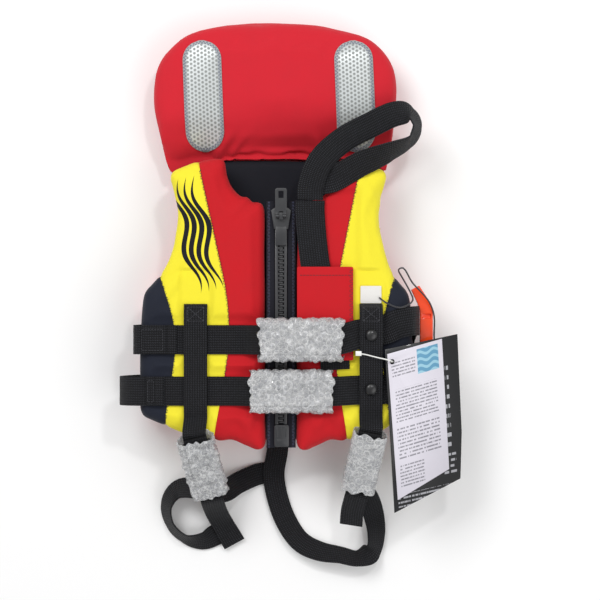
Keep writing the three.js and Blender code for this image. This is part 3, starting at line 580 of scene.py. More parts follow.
def surfaceOf(*pieces):
    # one search tree over several pieces, for laying things on them
    verts, faces = [], []
    for piece in pieces:
        base = len(verts)
        verts += [v.co.copy() for v in piece.data.vertices]
        faces += [[base + i for i in face.vertices] for face in piece.data.polygons]
    return BVHTree.FromPolygons(verts, faces)


def topOf(tree, x, y):
    hit = tree.ray_cast(Vector((x, y, 0.2)), Vector((0, 0, -1)))
    return (hit[0], hit[1]) if hit[0] else (None, Vector((0, 0, 1)))


def stitches(name, body, path, finish, tree, pitch=2.6, length=1.9, thick=0.45, zigzag=0.0,
             slot="black_webbing", proud=0.1):
    # short threads along a line on the surface below it; path in metres
    places = [place for _, place, _ in alongCurve([Vector((x, y, 0)) for x, y in path], 12)]
    run = [0.0]
    for p, q in zip(places, places[1:]):
        run.append(run[-1] + (q - p).length)
    count = max(1, int(run[-1] / (pitch * mm)))
    bm = bmesh.new()
    j = 0
    for i in range(count):
        s = (i + 0.5) * run[-1] / count
        while j < len(run) - 2 and run[j + 1] < s:
            j += 1
        place = places[j].lerp(places[j + 1], (s - run[j]) / max(1e-9, run[j + 1] - run[j]))
        way = (places[j + 1] - places[j]).normalized()
        side = Vector((-way.y, way.x, 0))
        swing = zigzag * mm * (1 if i % 2 else -1)
        half = way * (length * mm / 2) + side * swing
        ends = [place - half, place + half]
        tops = [topOf(tree, p.x, p.y)[0] for p in ends]
        if None in tops:
            continue
        centre = (tops[0] + tops[1]) / 2
        along = tops[1] - tops[0]
        if along.length > 4 * length * mm + 2 * abs(swing):
            continue
        turn = along.to_track_quat("X", "Z").to_matrix().to_4x4()
        size = Matrix.Diagonal((along.length, thick * mm, thick * 0.8 * mm, 1))
        lift = Matrix.Translation(centre + Vector((0, 0, proud * mm)))
        bmesh.ops.create_cube(bm, size=1, matrix=lift @ turn @ size)
    piece = meshObject(name, bm, False)
    return finishPiece(piece, body, finish, slot)


# seams between the coloured panels, as x out from the middle and y, for half the body
body = {"shoulderInner": 49, "halfWidth": 121.5, "narrowRight": 8, "zipHalf": 12.9}
redSeam = [(74, 150), (71, 120.5), (63.6, 85), (55.9, 50), (46, 0), (45, -38), (50, -75), (59, -129),
           (60, -150)]
navySeam = [(107, 40), (105.5, 25), (98, 3), (92, -20), (91, -47), (98, -93), (101, -129), (102, -150)]
beltLines = {"upper": -34, "lower": -78}
strapLines = {"left": -73, "right": 77}


def reach(x, sign):
    narrow = body["narrowRight"] if sign > 0 else 0
    share = max(0, x - body["shoulderInner"]) / (body["halfWidth"] - body["shoulderInner"])
    return sign * (x - narrow * share)


def seamLine(points, sign, steps=4):
    flat = [Vector((reach(x, sign), y, 0)) * mm for x, y in points]
    return [place for _, place, _ in alongCurve(flat, steps)]


def cutAlong(piece, line):
    # cuts the skin on a line that runs down it, so that a panel can end there
    bm = bmesh.new()
    bm.from_mesh(piece.data)
    for place in line:
        cutFlat(bm, place, Vector((0, 1, 0)))
    for p, q in zip(line, line[1:]):
        band = [f for f in bm.faces if q.y < f.calc_center_median().y < p.y]
        geom = band + list({e for f in band for e in f.edges}) + list({v for f in band for v in f.verts})
        if geom:
            way = (q - p).normalized()
            across = Vector((way.y, -way.x, 0))
            bmesh.ops.bisect_plane(bm, geom=geom, dist=0.02 * mm, plane_co=p, plane_no=across)
    bm.to_mesh(piece.data)
    bm.free()


def cutFlat(bm, place, normal):
    bmesh.ops.bisect_plane(bm, geom=[*bm.verts, *bm.edges, *bm.faces], dist=0.02 * mm, plane_co=place,
                           plane_no=normal)


def seamX(line, y):
    for p, q in zip(line, line[1:]):
        if q.y <= y <= p.y:
            return p.x + (q.x - p.x) * (p.y - y) / max(1e-9, p.y - q.y)
    return line[0].x if y > line[0].y else line[-1].x


def groove(place, normal, lines, depth=1.1 * mm, width=2.2 * mm):
    for line, top, bottom in lines:
        if bottom < place.y < top:
            away = abs(place.x - seamX(line, place.y))
            if away < width * 3:
                place = place - normal * depth * math.exp(-(away / width) ** 2)
    return place


def panelFrom(skin, name, chosen, finish, slot, bodyName, nodes, wall=2.0 * mm, blendAt=None):
    # takes the chosen faces of the skin as one panel with a real thickness
    bm = bmesh.new()
    bm.from_mesh(skin.data)
    others = [f for f in bm.faces if not chosen(f.calc_center_median())]
    bmesh.ops.delete(bm, geom=others, context="FACES")
    piece = meshObject(name, bm)
    solid = piece.modifiers.new("thickness", "SOLIDIFY")
    solid.thickness = wall
    solid.offset = -1
    applied(piece)
    finishPiece(piece, None if blendAt else bodyName, finish, slot, *nodes)
    if blendAt:
        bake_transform(piece)
    return piece


def wrinkle(place, normal, size, amount, seed=0.0):
    soft = noise.noise(place * (1 / size) + Vector((seed, seed * 0.7, 0)))
    return place + normal * soft * amount


front = {"puffCap": 3.4 * mm, "pressure": 4.5, "wrinkle": 0.9 * mm}


def pressedDown(place):
    # the highest that the front may stand where webbing, pocket and buckles lie on it
    x, y = place.x / mm, place.y / mm
    top = frontTop + 3.2 * mm
    held = frontTop - 0.25 * mm
    nearness = 0.0
    for line in beltLines.values():
        slope = 0.22 * max(0, x - strapLines["right"]) if line == beltLines["upper"] else 0
        nearness = max(nearness, 1 - smoothStep(15, 24, abs(y - line - slope)))
    for strapX in strapLines.values():
        if y < 26:
            nearness = max(nearness, 1 - smoothStep(11, 17, abs(x - strapX)))
    if 4 < x < 72 and -62 < y < 120:
        nearness = max(nearness, 1 - smoothStep(0, 9, max(13.8 - x, x - 61.8, -51.6 - y, y - 90)))
    return top + (held - top) * nearness


# each fold's middle, its lean and its share of the depth
creases = [(-30, 86, 0.9, 1.1), (-36, 99, -0.5, 0.8), (-88, 30, 1.2, 0.7), (-62, -12, 0.3, 0.7),
           (-28, -102, 0.2, 1.0), (31, -101, -0.3, 1.0), (72, 96, -0.8, 0.8), (60, 4, 0.5, 0.6),
           (-104, -58, 0.1, 0.9), (-96, 8, 0.8, 0.8)]


def creased(place, normal, folds, depth, width=5.0, spread=15.0):
    # a low ridge beside a shallow furrow at each fold
    x, y = place.x / mm, place.y / mm
    for px, py, lean, size in folds:
        across = (x - px) - (y - py) * lean
        fade = math.exp(-((y - py) / spread) ** 2 - ((x - px) / (spread * 1.6)) ** 2)
        shape = math.exp(-(across / width) ** 2) - 0.8 * math.exp(-((across - width * 1.7) / width) ** 2)
        place = place + normal * shape * fade * size * depth
    return place


def makeFront(side, sign):
    kinds = ("red_panel", "yellow_panel", "side_panel", "front_lining", "front_foam")
    nodes = [f"{kind}_{side}" for kind in kinds]
    skin = skinOf(f"front_skin_{side}", *nodes)
    puffUp(skin, front["puffCap"], front["pressure"])
    refine(skin)
    red, navy = seamLine(redSeam, sign), seamLine(navySeam, sign)
    cutAlong(skin, red)
    cutAlong(skin, navy)
    bm = bmesh.new()
    bm.from_mesh(skin.data)
    cutFlat(bm, Vector((0, 0, frontBase + 5 * mm)), Vector((0, 0, 1)))
    bm.to_mesh(skin.data)
    bm.free()
    valley = body["zipHalf"] * mm

    def settle(place, normal):
        upper = place.z > frontBase + 6 * mm
        place = wrinkle(place, normal, 26 * mm, front["wrinkle"], sign * 3)
        if upper:
            place = creased(place, normal, creases, 1.6 * mm)
            place = groove(place, normal, [(red, 1, -1), (navy, 40 * mm, -1)])
        place.z = min(place.z, pressedDown(place))
        if place.z < frontBase - 0.2 * mm and place.y < 100 * mm:
            place.z = frontBase - 0.2 * mm
        if place.y < -98 * mm:
            out = abs(place.x) / mm
            scallop = 3.2 * math.exp(-((out - 42) / 8) ** 2) - 2.4 * math.exp(-((out - 20) / 8) ** 2)
            place.y += scallop * mm * smoothStep(-98, -112, place.y / mm)
        if sign * place.x < valley:
            place.x = sign * valley
        return place

    shapeSkin(skin, settle)
    inner = frontBase + 5 * mm

    def inRed(c):
        return c.z > inner and sign * (c.x - seamX(red, c.y)) < 0

    def inNavy(c):
        return c.z > inner and c.y < 33 * mm and sign * (c.x - seamX(navy, c.y)) > 0

    def inYellow(c):
        return c.z > inner and not inRed(c) and not inNavy(c)

    def inLining(c):
        return c.z <= inner

    yellow = yellowPrinted if sign < 0 else yellowNeoprene
    panels = [
        panelFrom(skin, f"front_red_{side}", inRed, redShaded, "red_neoprene", "jacket", [nodes[0]]),
        panelFrom(skin, f"front_yellow_{side}", inYellow, yellow, "yellow_neoprene", "jacket", [nodes[1]]),
        panelFrom(skin, f"front_navy_{side}", inNavy, navyNeoprene, "navy_neoprene", "jacket", [nodes[2]]),
    ]
    panelFrom(skin, f"front_inside_{side}", inLining, liningNeoprene, "lining", "jacket", nodes[3:],
              wall=1.6 * mm)
    bpy.data.objects.remove(skin)
    for label, line, top in (("red", red, 118), ("navy", navy, 22)):
        path = [(p.x, p.y) for p in line if -122 * mm < p.y < top * mm][::4]
        stitches(f"seam_{label}_{side}", "jacket", path, darkThread, surfaceOf(*panels), pitch=2.4,
                 length=1.5, thick=0.4, zigzag=0.9, slot="zip_tape")


foldBlend = ("jacket", "collar", (0, 0.110, 0.02), (0, 0.138, 0.02))  # where the back turns into the collar
back = {"puffCap": 2.0 * mm, "pressure": 3.0}


def makeBack():
    skin = skinOf("back_skin", "back_cover", "back_lining", "back_foam")
    puffUp(skin, back["puffCap"], back["pressure"])
    refine(skin)
    bm = bmesh.new()
    bm.from_mesh(skin.data)
    split = backTop - 4 * mm
    cutFlat(bm, Vector((0, 0, split)), Vector((0, 0, 1)))
    bm.to_mesh(skin.data)
    bm.free()
    edges = {-1: leftEdge, 1: rightEdge}

    def settle(place, normal):
        place = wrinkle(place, normal, 30 * mm, 0.7 * mm, 9)
        place.z = min(max(place.z, 0.3 * mm), backTop + 0.6 * mm)
        place.y = min(place.y, foldY - 0.1 * mm)
        inBelt = min(abs(place.y - line * mm) for line in beltLines.values()) < 14.5 * mm
        if inBelt:
            place.z = max(place.z, 2.1 * mm)
            for sign, edge in edges.items():
                reachHere = abs(edge) - (2.3 * mm if place.z < 14 * mm else 0.4 * mm)
                if sign * place.x > reachHere:
                    place.x = sign * reachHere
        return place

    shapeSkin(skin, settle)
    panelFrom(skin, "back_outside", lambda c: c.z <= split, redNeoprene, "red_neoprene", "jacket",
              ["back_cover"], blendAt=foldBlend)
    panelFrom(skin, "back_inside", lambda c: c.z > split, liningNeoprene, "lining", "jacket",
              ["back_lining", "back_foam"], wall=1.6 * mm, blendAt=foldBlend)
    bpy.data.objects.remove(skin)


collar = {"puffCap": 4.5 * mm, "pressure": 5.0, "pleat": 5.0 * mm}
pleats = [(-52, 131, 0.55, 1.0), (-58, 126, 0.2, 0.6), (37, 129, -0.5, 0.9), (-45, 128, 0.9, 0.7),
          (44, 126, -0.8, 0.6)]


def shoulderSlope(x):
    # how far the shoulder's edge runs below the fold, x millimetres out from the middle
    return 2.2 * smoothStep(60, 75, x) + 8.4 * smoothStep(72, 98, x)


def makeCollar():
    skin = skinOf("collar_skin", "collar_back_cover", "collar_front_cover", "collar_foam")
    puffUp(skin, collar["puffCap"], collar["pressure"])
    refine(skin)
    top = high("collar_front_cover").z

    def settle(place, normal):
        x, y = place.x / mm, place.y / mm
        place = wrinkle(place, normal, 38 * mm, 1.3 * mm, 21)
        if normal.z > 0.1:
            hollow = math.exp(-(x / 36) ** 2) * math.exp(-((y - 133) / 22) ** 2)  # the dip over the neck
            place.z -= hollow * 7 * mm * smoothStep(125, 136, y)
            place = creased(place, normal, pleats, collar["pleat"] * 0.5, 4.0, 13.0)
        place.z = min(max(place.z, 0.3 * mm), top + 4 * mm)
        place.y = max(place.y, foldY)
        if normal.z > 0.05 and y < 131:
            lip = 1 - smoothStep(126, 131, y)  # the edge laps on to the lining
            place.y -= 3.2 * lip * mm
            place.z = max(place.z, (1 - lip) * place.z + lip * (backTop + 1.2 * mm))
        if normal.z > 0.05 and abs(x) > 60:
            near = 1 - smoothStep(125, 160, y)
            place.y -= shoulderSlope(abs(x)) * near * mm
            place.z = max(place.z, place.z * (1 - near) + (25.5 + 3 * (1 - near)) * mm * near)
        return place

    shapeSkin(skin, settle)
    nodes = ["collar_back_cover", "collar_front_cover", "collar_foam"]
    piece = panelFrom(skin, "collar_cover", lambda c: True, redNeoprene, "red_neoprene", "collar", nodes,
                      blendAt=foldBlend)
    bpy.data.objects.remove(skin)
    for side, x, lean in (("left", -67.5, 2), ("right", 64, 2.5)):
        makePatch(side, x, lean, piece)


patch = {"width": 33.5, "length": 95, "centreY": 177.5, "dot": 3.15, "border": 3.4}


def reflectiveFinish():
    # UV in metres from the patch's centre
    finish = Finish("reflective_film", 0.4, Specular_IOR_Level=0.35)
    u, v = finish.split(finish.node("ShaderNodeUVMap"))[:2]
    pitch = patch["dot"] * mm
    turn = 2 * math.pi / pitch
    a = (u * turn).math("COSINE")
    b = (u * (turn * 0.5) + v * (turn * 0.866)).math("COSINE")
    c = (u * (turn * 0.5) - v * (turn * 0.866)).math("COSINE")
    cells = (a + b + c) / 3
    dots = cells.math("GREATER_THAN", 0.16)
    rim = cells.math("LESS_THAN", -0.2)
    halfWidth, halfLength = patch["width"] / 2 * mm, patch["length"] / 2 * mm
    beyond = (v.math("ABSOLUTE") - (halfLength - halfWidth)).math("MAXIMUM", 0.0)
    away = (u * u + beyond * beyond).math("SQRT")
    border = away.math("GREATER_THAN", halfWidth - patch["border"] * mm)
    grime = finish.noise(60, 4, 0.6)
    film = finish.mix(dots * 0.9, colour(190, 195, 196), colour(128, 132, 131))
    film = finish.mix(rim * 0.5, film, colour(214, 219, 220))
    film = finish.mix(grime * 0.25, film, colour(150, 150, 140))
    finish.feed("Base Color", finish.mix(border, film, colour(166, 171, 172)))
    finish.feed("Roughness", dots * 0.2 + 0.3)
    finish.feed("Metallic", (1 - border) * 0.12)
    finish.bump(dots * -0.5 + rim * 0.4, 0.5, 0.3 * mm)
    return finish.material


def stadium(width, length):
    # a grid with rounded ends: across by along, from -1 to 1
    bm = bmesh.new()
    bmesh.ops.create_grid(bm, x_segments=12, y_segments=40, size=1)
    radius = width / 2
    straight = length / 2 - radius
    for vert in bm.verts:
        v = vert.co.y * length / 2
        beyond = max(0, abs(v) - straight)
        half = math.sqrt(max(0.0, radius ** 2 - beyond ** 2))
        half = max(half, 0.12 * radius)
        vert.co = Vector((vert.co.x * half, v, 0))
    return bm


def makePatch(side, x, lean, base):
    tree = surfaceOf(base)
    width, length = patch["width"] * mm, patch["length"] * mm
    bm = stadium(width, length)
    uvs = bm.loops.layers.uv.new("film")
    for face in bm.faces:
        for loop in face.loops:
            loop[uvs].uv = loop.vert.co.xy
    turn = Matrix.Rotation(math.radians(lean), 4, "Z")
    for vert in bm.verts:
        flat = turn @ vert.co + Vector((x * mm, patch["centreY"] * mm, 0))
        place, normal = topOf(tree, flat.x, flat.y)
        vert.co = (place or flat) + normal * 0.55 * mm
    for again in range(2):
        bmesh.ops.smooth_vert(bm, verts=bm.verts, factor=0.3, use_axis_x=False, use_axis_y=False,
                              use_axis_z=True)
    piece = meshObject(f"reflective_{side}", bm)
    wall = piece.modifiers.new("film", "SOLIDIFY")
    wall.thickness = 0.7 * mm
    wall.offset = 0
    applied(piece)
    finishPiece(piece, None, reflectiveFilm, "reflective", f"reflective_patch_{side}")
    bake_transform(piece)
    radius = width / 2 - 1.7 * mm
    straight = length / 2 - width / 2
    ring = []
    for k in range(48):
        turnHere = 2 * math.pi * k / 48
        flat = Vector((radius * math.cos(turnHere), radius * math.sin(turnHere), 0))
        flat.y += straight if math.sin(turnHere) >= 0 else -straight
        ring.append(flat)
    path = []
    for flat in [*ring, ring[0]]:
        place = turn @ flat + Vector((x * mm, patch["centreY"] * mm, 0))
        path.append((place.x, place.y))
    sewn = stitches(f"patch_stitch_{side}", None, path, patchThread, surfaceOf(piece), pitch=1.45,
                    length=1.2, thick=0.38, zigzag=1.25, slot="reflective")
    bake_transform(sewn)


reflectiveFilm = reflectiveFinish()


def zipTapeFinish():
    finish = Finish("zip_tape", 0.75, Specular_IOR_Level=0.3, Sheen_Weight=0.03)
    x, y, z = finish.split(finish.place())
    turn = 2 * math.pi / (0.8 * mm)
    twill = ((x + y * 0.6) * turn).wave() * 0.5 + 0.5
    edge = x.math("ABSOLUTE").between(9.6 * mm, 11.2 * mm)
    zig = ((y * (2 * math.pi / (2.6 * mm))).wave() * 0.5 + 0.5) * edge
    tone = finish.mix(twill * 0.6, colour(10, 11, 20), colour(26, 27, 42))
    finish.feed("Base Color", finish.mix(zig * 0.8, tone, colour(62, 65, 88)))
    finish.bump(twill * 0.5 + zig, 0.6, 0.3 * mm)
    return finish.material


zipSewing = {"out": 10.6, "down": (81, 30, -40, -90, -124), "ribHigh": 0.4}


def makeZip():
    tape = zipTapeFinish()
    for side, sign in (("left", -1), ("right", 1)):
        woven = softened(f"tape_{side}", "jacket", tape, "zip_tape", f"zip_tape_{side}", width=0.3)
        softened(f"teeth_{side}", "jacket", zipPlastic, "zip_plastic", f"zip_teeth_{side}", width=0.35,
                 angle=40)
        path = [(sign * zipSewing["out"] * mm, y * mm) for y in zipSewing["down"]]
        stitches(f"tape_stitch_{side}", "jacket", path, tapeThread, surfaceOf(woven), pitch=1.9, length=1.5,
                 thick=0.45, zigzag=1.1, slot="zip_tape")
    softened("zip_end_box", "jacket", zipPlastic, "zip_plastic", "zip_box", width=0.6)
    boxLow, boxHigh = low("zip_box"), high("zip_box")
    bm = bmesh.new()
    ribHigh = zipSewing["ribHigh"] * mm
    for share in (0.2, 0.5, 0.8):
        across = boxLow.x + (boxHigh.x - boxLow.x) * share
        place = Matrix.Translation((across, (boxLow.y + boxHigh.y) / 2 + 3.2 * mm, boxHigh.z))
        bmesh.ops.create_cube(bm, size=1, matrix=place @ Matrix.Diagonal((1.5 * mm, 8.5 * mm, ribHigh, 1)))
    place = Matrix.Translation(((boxLow.x + boxHigh.x) / 2, boxLow.y + 4.5 * mm, boxHigh.z))
    bmesh.ops.create_cube(bm, size=1, matrix=place @ Matrix.Diagonal((8 * mm, 4 * mm, ribHigh, 1)))
    bmesh.ops.bevel(bm, geom=bm.edges[:], offset=0.15 * mm, segments=2, profile=0.5, affect="EDGES",
                    material=-1)
    finishPiece(meshObject("zip_box_ribs", bm), "jacket", zipPlastic, "zip_plastic")
    softened("slider", "zip_slider", zipPlastic, "zip_plastic", "zip_slider", width=0.5, segments=3)
    softened("pull_tab", "zip_pull", zipPlastic, "zip_plastic", "zip_pull", width=0.5, segments=3)


# a row of a strap is x, y, z and the way that the strap faces there
belt = {"half": 121.5, "onFront": 68.0, "inset": 1.9, "bar": 1.4, "webbing": 1.4, "width": 25,
        "tails": {"upper": (-128, -90), "lower": (-124, -101)}}
buckle = {"socketBar": -19, "plugBar": 27}  # where the bars lie along a buckle, from its middle
beltBuckles = {"upper": 13, "lower": 5}  # x of each buckle's middle
overRightBelt = 75.7


def roundBar(x, y, z, out):
    # webbing that comes in below a bar, turns round it and leaves above
    r = belt["bar"] + 0.3 + belt["webbing"] / 2 + 0.25
    return [
        (x + out * 8, y, z - r, 0, 0, -1),
        (x + out * 1, y, z - r, 0, 0, -1),
        (x - out * r * 0.75, y, z - r * 0.7, -out * 0.7, 0, -0.7),
        (x - out * r, y, z, -out, 0, 0),
        (x - out * r * 0.75, y, z + r * 0.7, -out * 0.7, 0, 0.7),
        (x + out * 1, y, z + r, 0, 0, 1),
        (x + out * 9, y, z + r, 0, 0, 1),
    ]


def makeBelt(name, y, rightY, buckleX, sleeveBase, slack):
    # round the body from the buckle's socket, under the back, and up to the plug
    z = sleeveBase + 1.2 + 0.3 + 4.5
    leftX = -belt["half"] - 0.3 - 0.7
    rightX = reach(belt["half"], 1) + 0.3 + 0.7
    under = 0.95  # the middle of the webbing where the jacket lies on it
    on = belt["onFront"]
    inset = belt["inset"]
    rows = [
        *roundBar(buckleX + buckle["socketBar"], y, z, -1),
        (buckleX - 44, y, on + 1, 0, 0, 1),
        (buckleX - 56, y, on, 0, 0, 1),
        (leftX + 14, y, on, 0, 0, 1),
        (leftX - slack * 0.5, y, on - 2, -1, 0, 1),
        (leftX - slack, y, on - 12, -1, 0, 0),
        (leftX - slack * 0.6, y, 38, -1, 0, 0),
        (leftX - 0.3, y, 22, -1, 0, 0),
        (leftX - 0.2, y, 15, -1, 0, 0),
        (leftX + 0.7, y, 9, -1, 0, 0),
        (leftX + inset, y, 5.5, -1, 0, 0),
        (leftX + inset + 0.2, y, 3, -1, 0, -0.3),
        (leftX + inset + 1.2, y, 1.5, -1, 0, -1),
        (leftX + inset + 3.5, y, under, 0, 0, -1),
        (leftX + 30, y, under, 0, 0, -1),
        (rightX - 30, y, under, 0, 0, -1),
        (rightX - inset - 3.5, y, under, 0, 0, -1),
        (rightX - inset - 1.2, y, 1.5, 1, 0, -1),
        (rightX - inset - 0.2, y, 3, 1, 0, -0.3),
        (rightX - inset, y, 5.5, 1, 0, 0),
        (rightX - 0.7, y, 9, 1, 0, 0),
        (rightX + 0.2, y, 15, 1, 0, 0),
        (rightX + 0.5, y * 0.6 + rightY * 0.4, 29, 1, 0, 0),
        (rightX + 3, rightY, 46, 1, 0, 0),
        (rightX + 4, rightY, on - 12, 1, 0, 0),
        (rightX - 2, rightY, on - 0.5, 1, 0, 1),
        (rightX - 14, y * 0.15 + rightY * 0.85, on + 0.8, 0, 0, 1),
        (89, y * 0.45 + rightY * 0.55, on + 0.8, 0, 0, 1),
        (66, y * 0.7 + rightY * 0.3, sleeveBase + 1.4, 0, 0, 1),
        *reversed(roundBar(buckleX + buckle["plugBar"], y, z, 1)),
    ]
    strap(f"{name}_belt_webbing", "jacket", rows, belt["width"], f"{name}_belt")
    start, end = belt["tails"][name]
    tail = [(start + 9, y, on + 1.75, 0, 0, 1), ((start + end) / 2, y, on + 1.9, 0, 0, 1),
            (end - 2, y, on + 1.8, 0, 0, 1), (end + 1, y, on + 1.75, 0, 0, 1)]
    strap(f"{name}_belt_tail", "jacket", tail, 24.6, thick=1.3 * mm, steps=3)
    hem = [(end - 7, y, on + 3.1, 0, 0, 1), (end - 3, y, on + 3.15, 0, 0, 1),
           (end + 0.6, y, on + 2.9, 0, 0, 1)]
    strap(f"{name}_belt_hem", "jacket", hem, 24.4, thick=1.2 * mm, steps=4)


def crotchPlace(x, y, lean):
    turn = Matrix.Rotation(math.radians(lean - 90), 4, "Z") @ Matrix.Rotation(math.radians(30), 4, "Y")
    return Matrix.Translation((x, y, 64)) @ turn


leftCrotch, rightCrotch = crotchPlace(-68, -139.5, 13.4), crotchPlace(72, -135, -11)


def placed(matrix, row):
    return (*(matrix @ Vector(row[:3])), *(matrix.to_3x3() @ Vector(row[3:])))


def makeVerticalStrap(side, x, overBelt, matrix):
    bar = []
    for x0, y0, z0, faceX, faceY, faceZ in reversed(roundBar(buckle["socketBar"], 0, 0, -1)):
        bar.append(placed(matrix, (x0, y0, -z0, faceX, faceY, -faceZ)))  # the bar is met from above
    on = belt["onFront"]
    upper, lower = beltLines["upper"], beltLines["lower"]
    rows = [
        (x, upper + 30.5, on, 0, 0, -1),
        (x, upper + 26.5, overBelt - 1.5, 0, 0, -1),
        (x, upper + 20.5, overBelt, 0, 0, -1),
        (x, upper - 12.5, overBelt, 0, 0, -1),
        (x, lower - 14.5, on + 2.2, 0, 0, -1),
        (x, lower - 22.5, on + 0.6, 0, 0, -1),
        *bar,
    ]
    strap(f"vertical_webbing_{side}", "jacket", rows, 20, f"vertical_strap_{side}")


def boxStitch(name, tree, x0, x1, y0, y1, cross=True):
    # a sewn square, with a cross through it
    path = [(x0, y0), (x1, y0), (x1, y1), (x0, y1), (x0, y0)]
    runs = [path[k:k + 2] for k in range(4)]
    if cross:
        runs += [[(x0, y0), (x1, y1)], [(x0, y1), (x1, y0)]]
    for k, run in enumerate(runs):
        line = [(a * mm, b * mm) for a, b in run]
        line.insert(1, ((line[0][0] + line[1][0]) / 2, (line[0][1] + line[1][1]) / 2))
        stitches(f"{name}_{k}", "jacket", line, webThread, tree, pitch=2.3, length=1.7, thick=0.42)


def makeCrotchStraps():
    def leaving(matrix, along, height):
        return placed(matrix, (buckle["plugBar"] + along, 0, height, 0, 0, 1))

    def around(matrix):
        return [placed(matrix, row) for row in reversed(roundBar(buckle["plugBar"], 0, 0, 1)[:6])]

    exitL = leaving(leftCrotch, 13, -11)
    rows = [
        (-2, -153, 1.0, 0, 0, 1), (-20, -155, 1.6, 0, 0, 1), (-38, -162, 9, 0.2, 0.3, 1),
        (exitL[0] + 8, exitL[1] - 1, exitL[2] - 5, 0.3, 0.6, 1),
        (exitL[0] - 9, exitL[1] + 2, exitL[2] - 7, -0.3, 0.6, 1),
        (-93, -168, 12, -0.8, 0.6, 1), (-102, -182, 11, -1, 0, 0.6), (-99, -199, 10.5, -1, -0.5, 0.5),
        (-87, -211, 10, -0.6, -1, 0.6), (-70, -214, 6, 0, -0.6, 1), (-56, -208, 1.4, 0, 0, 1),
        (-46, -206, 1.0, 0, 0, 1),
    ]
    strap("crotch_webbing_left", "jacket", rows, 19, "crotch_strap_left", steps=8)
    rows = [*around(leftCrotch), placed(leftCrotch, (39, 0, 1.8, 0, 0, 1)), (-57, -187, 24, 0, -0.7, 1),
            (-52, -199, 9, 0, -0.7, 1), (-42, -217, 4.0, 0, 0, 1)]
    strap("crotch_tail_webbing_left", "jacket", rows, 20, "crotch_tail_left", steps=8)
    exitR = leaving(rightCrotch, 11, -9)
    rows = [
        (-3.3, -125.1, 7, 0, 0, 1), (-4, -135, 6, 0, 0, 1), (-7, -155, 3.4, 0, 0, 1), (-4, -175, 3, 0, 0, 1),
        (4, -197, 3.5, 0.1, 0, 1), (17, -215, 6, 0.3, 0.2, 1), (34, -223, 9, 0, 0.7, 1),
        (52, -226, 10.6, 0, 0.9, 0.8), (68, -229, 10.6, 0.3, 0.9, 0.7), (81, -222, 10.6, 0.9, 0.4, 0.7),
        (84, -208, 10, 0.7, 0.1, 1), (82, -192, 10, 0.3, 0, 1),
        (exitR[0] + 9, exitR[1] - 10, exitR[2] - 16, 0, -0.5, 1),
        (exitR[0] + 1, exitR[1] + 1, exitR[2] - 2, 0, -0.6, 1),
    ]
    strap("crotch_webbing_right", "jacket", rows, 19, "crotch_strap_right", steps=8)
    rows = [*around(rightCrotch), placed(rightCrotch, (39, 0, 1.8, 0, 0, 1)), (62, -184, 36, -0.2, -0.3, 1),
            (61, -197, 31, -0.2, -0.3, 1)]
    strap("crotch_tail_webbing_right", "jacket", rows, 20, "crotch_tail_right", steps=8)


def makeLiftingLoop():
    lower, upper = 68.0, 69.7
    flat = (lower + upper) / 2
    base = ((46.5, -59.8), (45, -38), (37, -8), (29, 32.4), (25, 73.5), (25, 85.0))
    rows = [(x, y, flat, 0, 0, 1) for x, y in base]
    strap("loop_base_webbing", "jacket", rows, 25, "lifting_loop_base", thick=3.0 * mm)
    rows = [
        (25, 85.8, upper, 0, 0, 1), (25.5, 97.5, upper + 1, 0, 0, 1), (33, 117.5, upper + 3, 0, 0, 1),
        (52, 136, upper + 1, 0, 0, 1), (77, 150, upper - 3, 0.1, 0, 1), (99, 160, upper - 6, 0.3, 0.3, 1),
        (112, 160, upper - 8, 0.9, 0.6, 0.5), (117, 149, upper - 8, 1, -0.3, 0.4),
        (111, 136, upper - 6, 0.5, -0.9, 0.4), (92, 126, upper + 2, 0.2, -0.7, 0.7),
        (68, 116, upper + 4, 0.2, -0.3, 1), (44, 103, lower + 1.5, 0, 0, 1), (29, 99.5, lower, 0, 0, 1),
        (25, 90.5, lower, 0, 0, 1), (25, 85.8, lower, 0, 0, 1),
    ]
    strap("loop_webbing", "lifting_loop", rows, 22, "lifting_loop", steps=8)


wrap = {"bubble": 7.5, "height": 1.5, "crinkle": 1.7, "lift": 1.0}


def wrapFinish():
    finish = Finish("bubble_wrap", 0.12, Specular_IOR_Level=0.9, Coat_Weight=0.4, Coat_Roughness=0.05)
    away = finish.node("ShaderNodeTexVoronoi", {"feature": "F1"}, Vector=finish.place(), Scale=165.0,
                       Randomness=0.8)
    # ring whitens each bubble's rim: painted highlight
    ring = ((away - 0.46).math("ABSOLUTE") * -8 + 1).math("MAXIMUM", 0.0)
    broad = finish.noise(75, 3, 0.6)
    crease = finish.noise(210, 4, 0.65)
    # line and thread whiten the crinkles: painted highlights
    line = ((crease - 0.5).math("ABSOLUTE") * -26 + 1).math("MAXIMUM", 0.0)
    second = finish.noise(330, 3, 0.6)
    thread = ((second - 0.48).math("ABSOLUTE") * -20 + 1).math("MAXIMUM", 0.0)
    # white gathers these painted highlights with broad whitening that differs at random, and sets how opaque
    # the film is
    white = (ring * 0.4 + line * 0.6 + thread * 0.45 + broad * 0.7 - 0.1).math("MINIMUM", 1.0)
    finish.feed("Base Color", finish.mix(white, colour(200, 203, 209), colour(255, 255, 255)))
    finish.feed("Roughness", broad * 0.25 + 0.05)
    finish.feed("Alpha", (white * 0.62 + 0.3).math("MINIMUM", 1.0))
    dome = (1 - away * away * 4).math("MAXIMUM", 0.0)
    finish.bump(dome * 0.5 + line * 0.5 + thread * 0.4 + crease * 1.2, 0.9, 1.2 * mm)
    return finish.material


